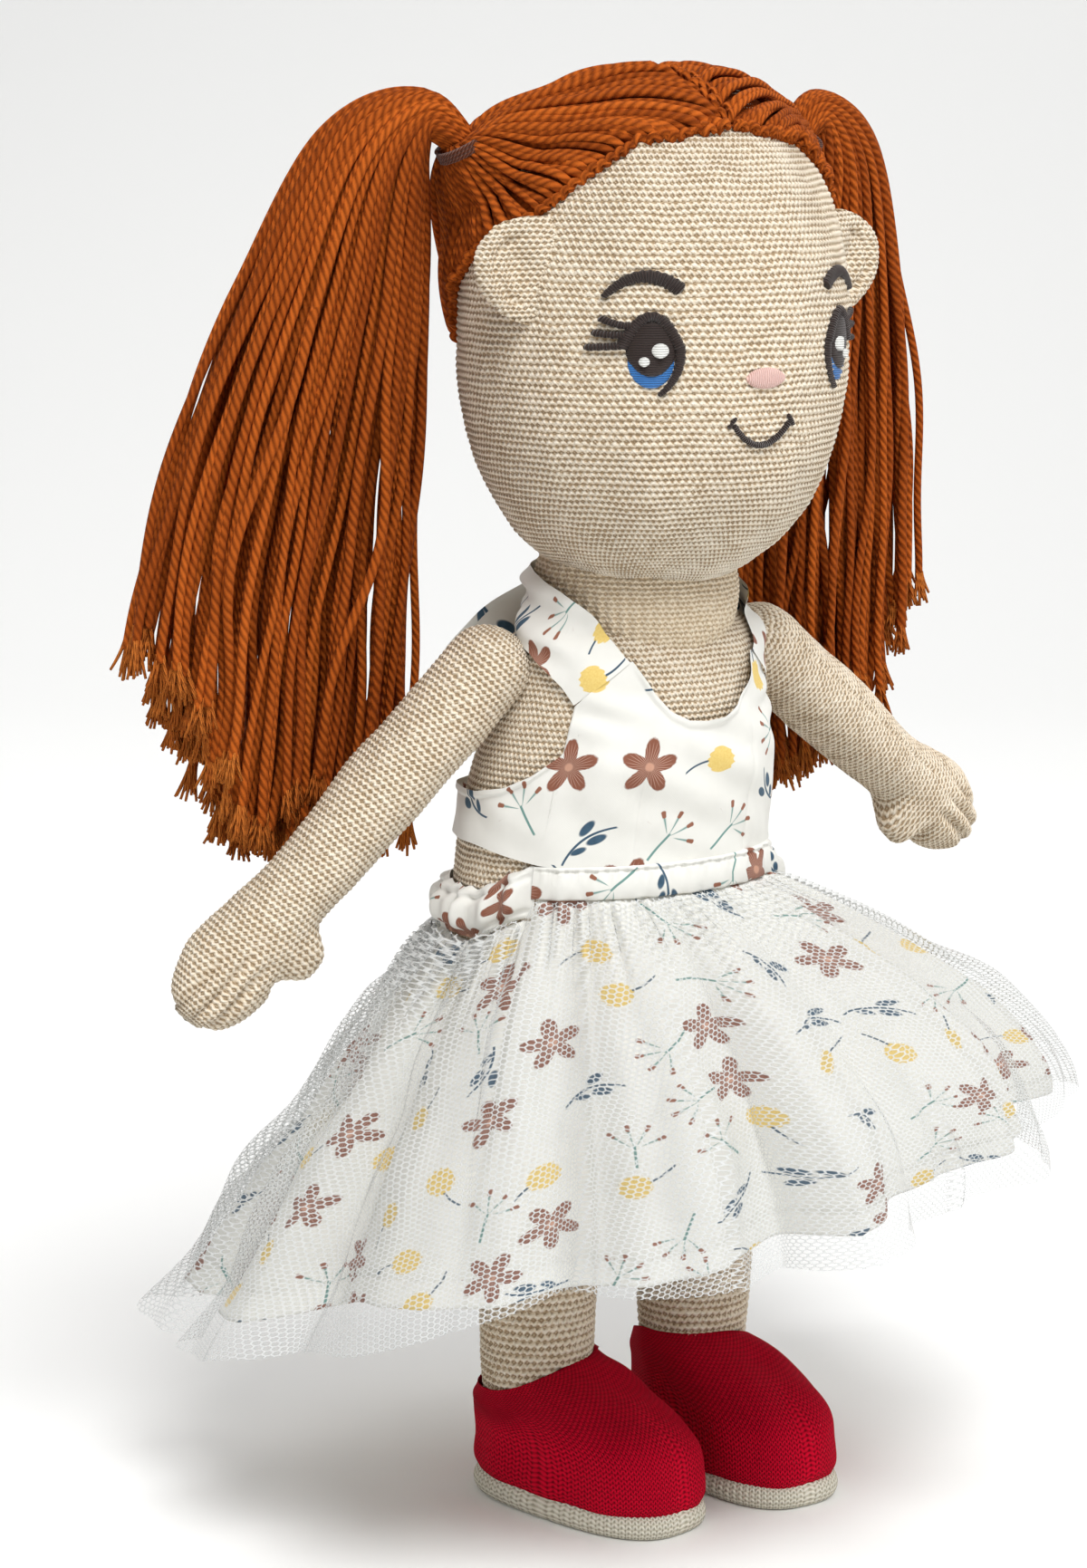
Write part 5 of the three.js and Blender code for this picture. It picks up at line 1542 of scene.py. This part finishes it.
def bodice_top():
    """The turn and the level of the bodice's top edge from front to back, and the length at each."""
    degrees, up = np.array(BIB_SHARES).T
    edge = np.column_stack([np.radians(degrees), BAND_BOTTOM + BIB_RISE * up])
    stretched = np.column_stack([edge * [EDGE_RADIUS, 1], np.zeros(len(edge))])
    rows, at = evenly(stretched, 0.7)
    return rows[:, :2] / [EDGE_RADIUS, 1], at


def bodice_folds(turn, z):
    """How far the cotton stands out: over the bust, in its folds, and in at its two seams."""
    off = np.abs(turn)
    folds = 0.9 * np.sin(turn * 13 + z * 0.09) * bell(off - 0.75, 0.35)
    folds = folds * bell(z - UNDER_BUST_HEIGHT, 9) + 0.35 * np.sin(z * 0.5 + turn * 9) * bell(turn, 0.9)
    pulled = bell(off - 0.8, 0.28) * bell(z - ARMHOLE_HEIGHT, 7)
    folds = folds + 0.8 * np.sin(z * 0.8 - off * 7) * pulled
    bust = BUST_REACH * bell(off - 0.5, 0.32) * bell(z - BUST_HEIGHT, 9)
    seam = -0.55 * bell(off - 0.42, 0.016) * smooth_step(200, 190, z)
    creases = 0.35 * lumps(np.stack([turn * 35, z, z * 0], axis=-1), 14, 5)
    return bust + folds * 0.8 + seam + creases


def make_bodice():
    """Fitted cotton: lines from its band up to its top edge, with a bound edge."""
    top, at = bodice_top()
    low_turn = 0.45 * np.interp(at, [0, at[-1]], [0, math.pi]) + 0.55 * top[:, 0]
    low = np.concatenate([-low_turn[:0:-1], low_turn[:-1]])
    high = np.concatenate([-top[:0:-1, 0], top[:-1, 0]])
    levels = np.concatenate([top[:0:-1, 1], top[:-1, 1]])
    share = np.linspace(0, 1, 64)[:, None]
    turn = low + (high - low) * share
    bottom = BAND_BOTTOM - 0.6 + 4.5 * smooth_step(0.8, 1.7, np.abs(low))
    z = bottom + (levels - bottom) * share
    bound = 1 - smooth_step(0.45, 0.6, np.abs(high)) * smooth_step(1.05, 0.95, np.abs(high))
    bound = 0.7 * smooth_step(2.2, 1.2, np.abs(levels - z)) * bound
    out = CLOTH_OUT + 0.35 + bodice_folds(turn, z) + bound
    grid = body_at(turn + BODICE_TWIST, z, 0.0)
    grid = grid + outward(grid, np.array([0, -2, BODICE_MIDDLE[2]])) * out[..., None]
    marks = np.stack([turn * CLOTH_RADIUS, z], axis=-1)
    marks = np.concatenate([marks, marks[:, :1] + [TAU * CLOTH_RADIUS, 0]], axis=1)
    skin = skin_of(grid, marks)
    bodice = make(skin, "halter_bodice", PRINT, "torso", ["bodice"], BODICE_MIDDLE)
    cloth = area(grid)


def make_strap(side, tag):
    """A wide cotton strap from the bib over the collar bone, round the neck, to the bow.

    Its points lie between its two edges on the body. Where the body is hollow between the edges,
    the cloth goes straight across.
    """
    rows = smooth_path(np.array(STRAP_SHARES, float), 20)
    turns = np.radians(rows[:, 0::2])
    levels = BAND_BOTTOM + BIB_RISE * rows[:, 1::2]
    s = np.linspace(0, 1, len(rows))[:, None]
    v = np.linspace(-1, 1, 21)
    low = (1 - v) / 2
    around = turns[:, :1] * (1 - low) + turns[:, 1:] * low
    z = levels[:, :1] * (1 - low) + levels[:, 1:] * low
    fold = 0.9 * np.sin(v * 5 + s * 8) * smooth_step(0.05, 0.3, s) - 0.3 * v**2
    fold = fold + 0.3 * lumps(stacked(v * 9, s * 80, 0), 11, 9 + side)
    twist = BODICE_TWIST * smooth_step(0.8, 0.2, s)
    grid = body_at(side * around + twist, z, 0.0)
    from_neck = (grid - [0, NECK_CENTRE[1], 0]) * [1, 1, 0]
    way = unit(from_neck)
    taut = from_neck[:, :1] + (from_neck[:, -1:] - from_neck[:, :1]) * (1 - low[:, None])
    bridged = np.maximum(0, np.linalg.norm(taut, axis=-1) - np.linalg.norm(from_neck, axis=-1))
    grid = grid + way * bridged[..., None]
    grid = grid + way * (CLOTH_OUT + 0.75 + 0.8 * smooth_step(0.05, 0.4, s) + fold)[..., None]
    skin = skin_of(grid, np.stack([side * around * CLOTH_RADIUS, z], axis=-1), wrapped=False)
    strap = make(skin, f"strap_{tag}", PRINT, "torso", [f"neck_strap_{tag}"], NECK_CENTRE)
    area(grid, False) / 0.02


def add_ribbon(skin, path, way, width, length, start):
    """A soft flat ribbon along a path, this wide in the given direction."""
    v = np.linspace(-1, 1, 15)
    grid = path[:, None] + unit(np.array(way)) * (width[:, None] * v / 2)[..., None]
    marks = stacked(start + length * np.linspace(0, 1, len(path))[:, None], 6 * v + 20)
    fold = 0.5 * lumps(np.concatenate([marks, marks[..., :1] * 0], axis=-1), 10, 7)
    skin.add(grid + fold[..., None] * [0.2, 1, 0.1], marks, wrapped=False)


def add_knot(skin, middle):
    """A small flattened ball with six pleats round it."""
    turn = np.linspace(0, TAU, 40, endpoint=False)
    latitude = np.linspace(-0.5, 0.5, 24)[:, None] * math.pi
    round_way = stacked(np.sin(turn), np.cos(turn), 0 * latitude)
    knot = middle + round_way * np.cos(latitude)[..., None] * [KNOT_HALF[0], KNOT_HALF[1], 0]
    knot = knot + np.sin(latitude)[..., None] * [0, 0, KNOT_HALF[2]]
    knot = knot + outward(knot, middle) * (0.4 * np.sin(turn * 6))[None, :, None]
    skin.add(knot, stitch_marks(np.linspace(0, 12, 24), 40, 14, 1), closed=BOTH_ENDS)


def make_bow():
    """Two loops, two tails and a knot behind the neck, of ribbon that stands on its edge."""
    skin = Skin()
    back = NECK_CENTRE[1] + NECK_RADIUS + 4.2
    for side, _ in SIDES:
        loop = TAU * (np.linspace(0, 1, 80) - 0.5)
        x = side * BOW_HALF_WIDTH * (0.5 + 0.5 * np.cos(loop))
        off = np.abs(x) / BOW_HALF_WIDTH
        y = back + 1.8 + 2.6 * np.sin(loop) * np.sqrt(off) - np.abs(x) * 0.1
        z = BOW_HEIGHT + 4 - np.abs(x) * BOW_DROOP
        width = 7 + 8 * smooth_step(0.1, 0.7, off)
        add_ribbon(skin, np.stack([x, y, z], axis=1), [BOW_DROOP * side, 0.05, 1], width, 80, 0)
        drop = np.linspace(0, 1, 50)
        x = side * (2 + 19 * drop**0.8)
        y = back + 2.5 + 1.5 * np.sin(drop * 5)
        z = BOW_HEIGHT - 1 - TAIL_DROP * drop
        width = 5 + 6 * smooth_step(0, 0.5, drop)
        add_ribbon(skin, np.stack([x, y, z], axis=1), [0.85, 0.1, 0.55 * side], width, 32, 50)
    add_knot(skin, np.array([0, back + 2.4, BOW_HEIGHT]))
    stuffed(skin, "bow", PRINT, "torso", ["neck_bow"])


def off_front(turn):
    """How far a turn is from the front, from 0 to half a turn."""
    return np.abs(np.arctan2(np.sin(turn), np.cos(turn)))


def waist_drop(turn):
    """How much lower the casing sits than the waistband."""
    return CASING_DROP * smooth_step(WAISTBAND_TURN, WAISTBAND_TURN * 1.5, off_front(turn))


def torso_waist(turn, z, out):
    """This far outside the torso's oval, at a turn and a level."""
    centre, wide, deep = torso_at(z)
    return stacked((wide + out) * np.sin(turn), centre - (deep + out) * np.cos(turn), z)


# Rows of the way out and the way up round the band's outside, with a groove for its stitches
WAISTBAND_SHARES = [
    [0, 0],
    [0.8, 0],
    [1, 0.06],
    [1, 0.4],
    [1, 0.78],
    [0.9, 0.82],
    [0.8, 0.84],
    [0.8, 0.88],
    [0.9, 0.9],
    [1, 0.94],
    [0.8, 1],
    [0, 1],
]


def make_waistband():
    """A flat band across the front with a row of stitches near its upper edge."""
    turn = np.linspace(-WAISTBAND_TURN, WAISTBAND_TURN, 330)[None, :]
    out_share, up = np.array(WAISTBAND_SHARES).T[:, :, None]
    dash = np.sin(turn * TORSO_HALF_WIDTH * TAU / WAISTBAND_STITCH) > -0.3
    sewn = (np.abs(up - 0.86) < 0.05) * (0.35 * dash - 0.35)
    ripple = 0.3 * np.sin(turn * 31) + 0.2 * np.sin(turn * 55 + up * 8)
    z = WAISTBAND_BOTTOM + WAISTBAND_HEIGHT * up + 0 * turn
    ends = 0.3 + 0.7 * smooth_step(WAISTBAND_TURN, WAISTBAND_TURN - 0.12, np.abs(turn))
    grid = torso_waist(turn, z, WAIST_GAP + (WAISTBAND_THICKNESS + ripple + sewn) * out_share * ends)
    skin = skin_of(grid, stacked(turn * 42 + 300, z), wrapped=False)
    middle = np.array([0, 0, WAISTBAND_BOTTOM])
    band = make(skin, "waistband", PRINT, "torso", ["front_waistband"], middle)
    cloth = area(grid, False)


def make_casing():
    """The gathered casing over the elastic, puffed between its pleats and its two sewn lines."""
    start = WAISTBAND_TURN - 0.02
    turn = np.linspace(start, TAU - start, 700)[None, :]
    v = np.linspace(0, 1, 22)[:, None]
    pleat = np.sin(turn * 23 + 1.5 * np.sin(turn * 5)) + 0.5 * np.sin(turn * 41 + 2)
    ends = smooth_step(start, start + 0.08, turn) * smooth_step(TAU - start, TAU - start - 0.08, turn)
    puff = np.sin(v * math.pi) ** 0.5 * (CASING_THICKNESS * 0.8 + PLEAT_DEPTH * pleat)
    sewn = PLEAT_DEPTH * (bell(v - 0.8, 0.06) + bell(v - 0.14, 0.06))
    middle = WAISTBAND_TOP - 0.3 - waist_drop(turn) - CASING_HEIGHT / 2
    z = middle + (v - 0.5) * CASING_HEIGHT + 0.35 * np.sin(turn * 37) * v
    grid = torso_waist(turn, z, WAIST_GAP + (puff - sewn) * ends)
    skin = skin_of(grid, stacked(turn * 60, v * 17), wrapped=False)
    nodes = ["gathered_casing", "waist_elastic"]
    casing = make(skin, "casing", PRINT, "torso", nodes, np.array([0, 0, 160]))
    cloth = area(grid, False)


def skirt_top(turn):
    """The level of the skirt's upper edge, under the waistband or the casing."""
    to_casing = smooth_step(WAISTBAND_TURN * 0.95, WAISTBAND_TURN, off_front(turn))
    step = (CASING_HEIGHT - WAISTBAND_HEIGHT + 0.6) * to_casing
    return WAISTBAND_BOTTOM - 0.3 - step - waist_drop(turn)


def skirt_folds(turn, t, seed):
    """Long folds as in the model, smaller ones of more counts, sharp ridges, and waist gathers."""
    wave = np.cos(FOLDS * turn + np.sin(3 * turn)) * FOLD_DEPTH * np.sqrt(np.clip(t, 0, 1))
    chance = np.random.default_rng(seed)
    for count, depth in ((19, 1.6), (27, 1.2), (41, 0.7)):
        phase = chance.uniform(0, TAU)
        wave = wave + depth * np.sin(count * turn + phase + 1.5 * np.sin(2 * turn + phase)) * t**0.7
    ridge = 1 - 2 * np.abs(np.sin(9.5 * turn + 0.9 * np.sin(2 * turn + 1))) ** 0.7
    wave = wave + RIDGE_DEPTH * (0.7 + 0.3 * np.sin(3 * turn + 2)) * ridge * t**0.6
    gathers = np.sin(66 * turn + 2 * np.sin(5 * turn)) + 0.6 * np.sin(97 * turn + 1)
    return wave + GATHER_DEPTH * gathers * bell(t, 0.16) * smooth_step(0, 0.02, t)


def skirt_at(turn, t, out, seed):
    """The skirt at a turn, with t from 0 at the waist to 1 at the hem.

    A cone from the waist to a hem that is lifted on one side, where it bells out, with its folds
    and soft dents.
    """
    lifted = np.cos(turn - math.pi / 2 - LIFT_TURN)
    side = (1 + lifted) / 2
    flare = t * (1 - side) + (1 - np.maximum(0, 1 - t) ** 1.9) * side
    top = skirt_top(turn)
    waist = torso_waist(turn, top, WAIST_GAP + out)
    radius = SKIRT_RADIUS + out
    hem_x = radius * np.sin(turn)
    hem_y = -radius * np.cos(turn) - SKIRT_FORWARD
    hem_z = HEM_HEIGHT + HEM_LIFT * lifted
    x = waist[..., 0] + (hem_x - waist[..., 0]) * flare
    y = waist[..., 1] + (hem_y - waist[..., 1]) * flare
    z = top + (hem_z - top) * t
    point = np.stack([x, y, z], axis=-1)
    wave = skirt_folds(turn, t, seed) + lumps(point, 30, seed + 1) * DENT_DEPTH * smooth_step(0.1, 0.6, t)
    return point + np.stack([np.sin(turn) * wave, -np.cos(turn) * wave, 0 * z], axis=-1)


def skirt_grid(out, beyond):
    """The skirt's points, with marks as on the same cloth opened out flat.

    The function beyond gives how many millimetres the hem hangs past the usual length at a turn.
    """
    turn = np.linspace(-math.pi, math.pi, SKIRT_COLUMNS + 1)[None, :]
    t = np.linspace(0, 1, SKIRT_ROWS)[:, None] * (1 + beyond(turn) / SKIRT_LENGTH)
    grid = skirt_at(turn[:, :-1], t[:, :-1], out, 200)
    reach = FLAT_WAIST + SKIRT_LENGTH * t
    spread = turn * FLAT_TURN
    return grid, stacked(reach * np.sin(spread), -reach * np.cos(spread))


def make_cotton_skirt():
    """The printed skirt, with its edge turned up inside and sewn."""
    def beyond(turn):
        """Three slow waves, with 6 mm less at the doll's right side."""
        return 1.5 * np.sin(3 * turn + 1) - 6 * bell(turn + 1.2, 0.25)

    grid, marks = skirt_grid(0.0, beyond)
    normal = outward(grid, SKIRT_MIDDLE)
    inside = grid - normal * HEM_GAP
    hem = np.concatenate([grid, inside[: -HEM_ROWS - 1 : -1]])
    hem_marks = np.concatenate([marks, marks[: -HEM_ROWS - 1 : -1] + [3, 0]])
    stitches = round(SKIRT_RADIUS * TAU / HEM_STITCH)
    ripple = np.cos(np.linspace(0, TAU, SKIRT_COLUMNS, endpoint=False) * stitches)[:, None]
    hem[len(grid) - HEM_ROWS] -= normal[len(grid) - HEM_ROWS] * (0.5 + 0.3 * ripple)
    skin = skin_of(hem, hem_marks)
    skirt = make(skin, "skirt", PRINT, "torso", ["cotton_skirt"], SKIRT_MIDDLE)
    cloth = area(hem)


def make_net_skirt():
    """The net over the skirt, a little longer than it, with a plain cut edge and its own pleats."""
    def beyond(turn):
        """10 mm with three slow waves, and 8 mm less between its front and its right side."""
        return 10 - 8 * bell(turn + 0.7, 0.3) + 3 * np.sin(3 * turn + 1)

    grid, marks = skirt_grid(NET_OUT, beyond)
    z = grid[..., 2:3]
    turn = np.linspace(-math.pi, math.pi, SKIRT_COLUMNS, endpoint=False)[None, :, None]
    pleats = PLEAT_DEPTH * np.sin(25 * turn + 2 * np.sin(3 * turn))
    loose = NET_OUT + (NET_OUT * lumps(grid, 38, 210)[..., None] + pleats) * smooth_step(160, 110, z)
    grid = grid + outward(grid, SKIRT_MIDDLE) * np.clip(loose, 0.2, 6) * smooth_step(160, 138, z)
    skin = skin_of(grid, marks)
    net = make(skin, "net_skirt", NET, "torso", ["net_overskirt"], SKIRT_MIDDLE)
    cloth = area(grid)


# Camera, light and floor


def add_object(name, data):
    """Puts a lamp, camera or mesh in the scene."""
    item = bpy.data.objects.new(name, data)
    bpy.context.scene.collection.objects.link(item)
    return item


def set_camera():
    """A long lens from the doll's right, a little above it."""
    camera = add_object("camera", bpy.data.cameras.new("camera"))
    camera.data.lens = 93
    camera.data.sensor_width = 36
    camera.data.shift_x = -0.0462
    camera.data.shift_y = -0.012
    camera.location = (math.sin(CAMERA_TURN) - BODY_ASIDE * MM, -math.cos(CAMERA_TURN), 0.35)
    camera.rotation_euler = (math.radians(90 - 9.44), 0, CAMERA_TURN)
    bpy.context.scene.camera = camera


def set_lights():
    """A soft key from the front, a weak fill from the right, and a light behind on pale air."""
    world = bpy.data.worlds.new("studio")
    world.use_nodes = True
    sky = world.node_tree.nodes["Background"]
    join(world.node_tree, (1, 1, 1, 1), sky.inputs["Color"])
    join(world.node_tree, 0.45, sky.inputs["Strength"])
    bpy.context.scene.world = world
    for name, place, size, power in (
        ("key", (-0.3, -1.05, 1.7), 0.9, 32),
        ("fill", (1.4, -0.9, 0.8), 1.4, 5),
        ("back", (0.4, 1.2, 1.5), 1.2, 9),
    ):
        light = add_object(name, bpy.data.lights.new(name, "AREA"))
        light.data.size = size
        light.data.energy = power
        light.location = place
        way = light.location.copy()
        way.z -= 0.2
        light.rotation_euler = way.to_track_quat("Z", "Y").to_euler()


def set_backdrop():
    """Pale paper, flat under the doll, that curves up behind it. Its sizes are in metres."""
    finish = Finish("backdrop_paper", 0.9)
    finish.set("Base Color", colour("F8F8F7"))
    bend = np.linspace(0, math.pi / 2, 24)
    depth = np.concatenate([[-3], 1.3 + 0.9 * np.sin(bend), [2.2]])
    height = np.concatenate([[0], 0.9 - 0.9 * np.cos(bend), [5]])
    forward = np.array([-math.sin(CAMERA_TURN), math.cos(CAMERA_TURN), 0])
    sideways = np.array([math.cos(CAMERA_TURN), math.sin(CAMERA_TURN), 0])
    rows = depth[:, None] * forward + height[:, None] * UPWARD
    points = np.stack([rows - 5 * sideways, rows + 5 * sideways], axis=1).reshape(-1, 3)
    faces = [(2 * k, 2 * k + 1, 2 * k + 3, 2 * k + 2) for k in range(len(rows) - 1)]
    paper = bpy.data.meshes.new("backdrop")
    paper.from_pydata(points.tolist(), [], faces)
    paper.polygons.foreach_set("use_smooth", [True] * len(faces))
    paper.materials.append(finish.material)
    add_object("backdrop", paper)


bpy.context.scene.view_settings.view_transform = "Standard"
set_camera()
set_lights()
set_backdrop()
make_head()
make_neck()
make_torso()
for SIDE, TAG in SIDES:
    make_ear(SIDE, TAG)
    make_arm(SIDE, TAG)
    make_leg(SIDE, TAG)
    make_shoe(SIDE, TAG)
    make_sole(SIDE, TAG)
    make_hair_cap(SIDE, TAG)
    make_tie(SIDE, TAG)
    make_pigtail(SIDE, TAG)
    make_eye(SIDE, TAG)
    make_strap(SIDE, TAG)
make_nose_and_mouth()
make_bodice()
make_bow()
make_waistband()
make_casing()
make_cotton_skirt()
make_net_skirt()
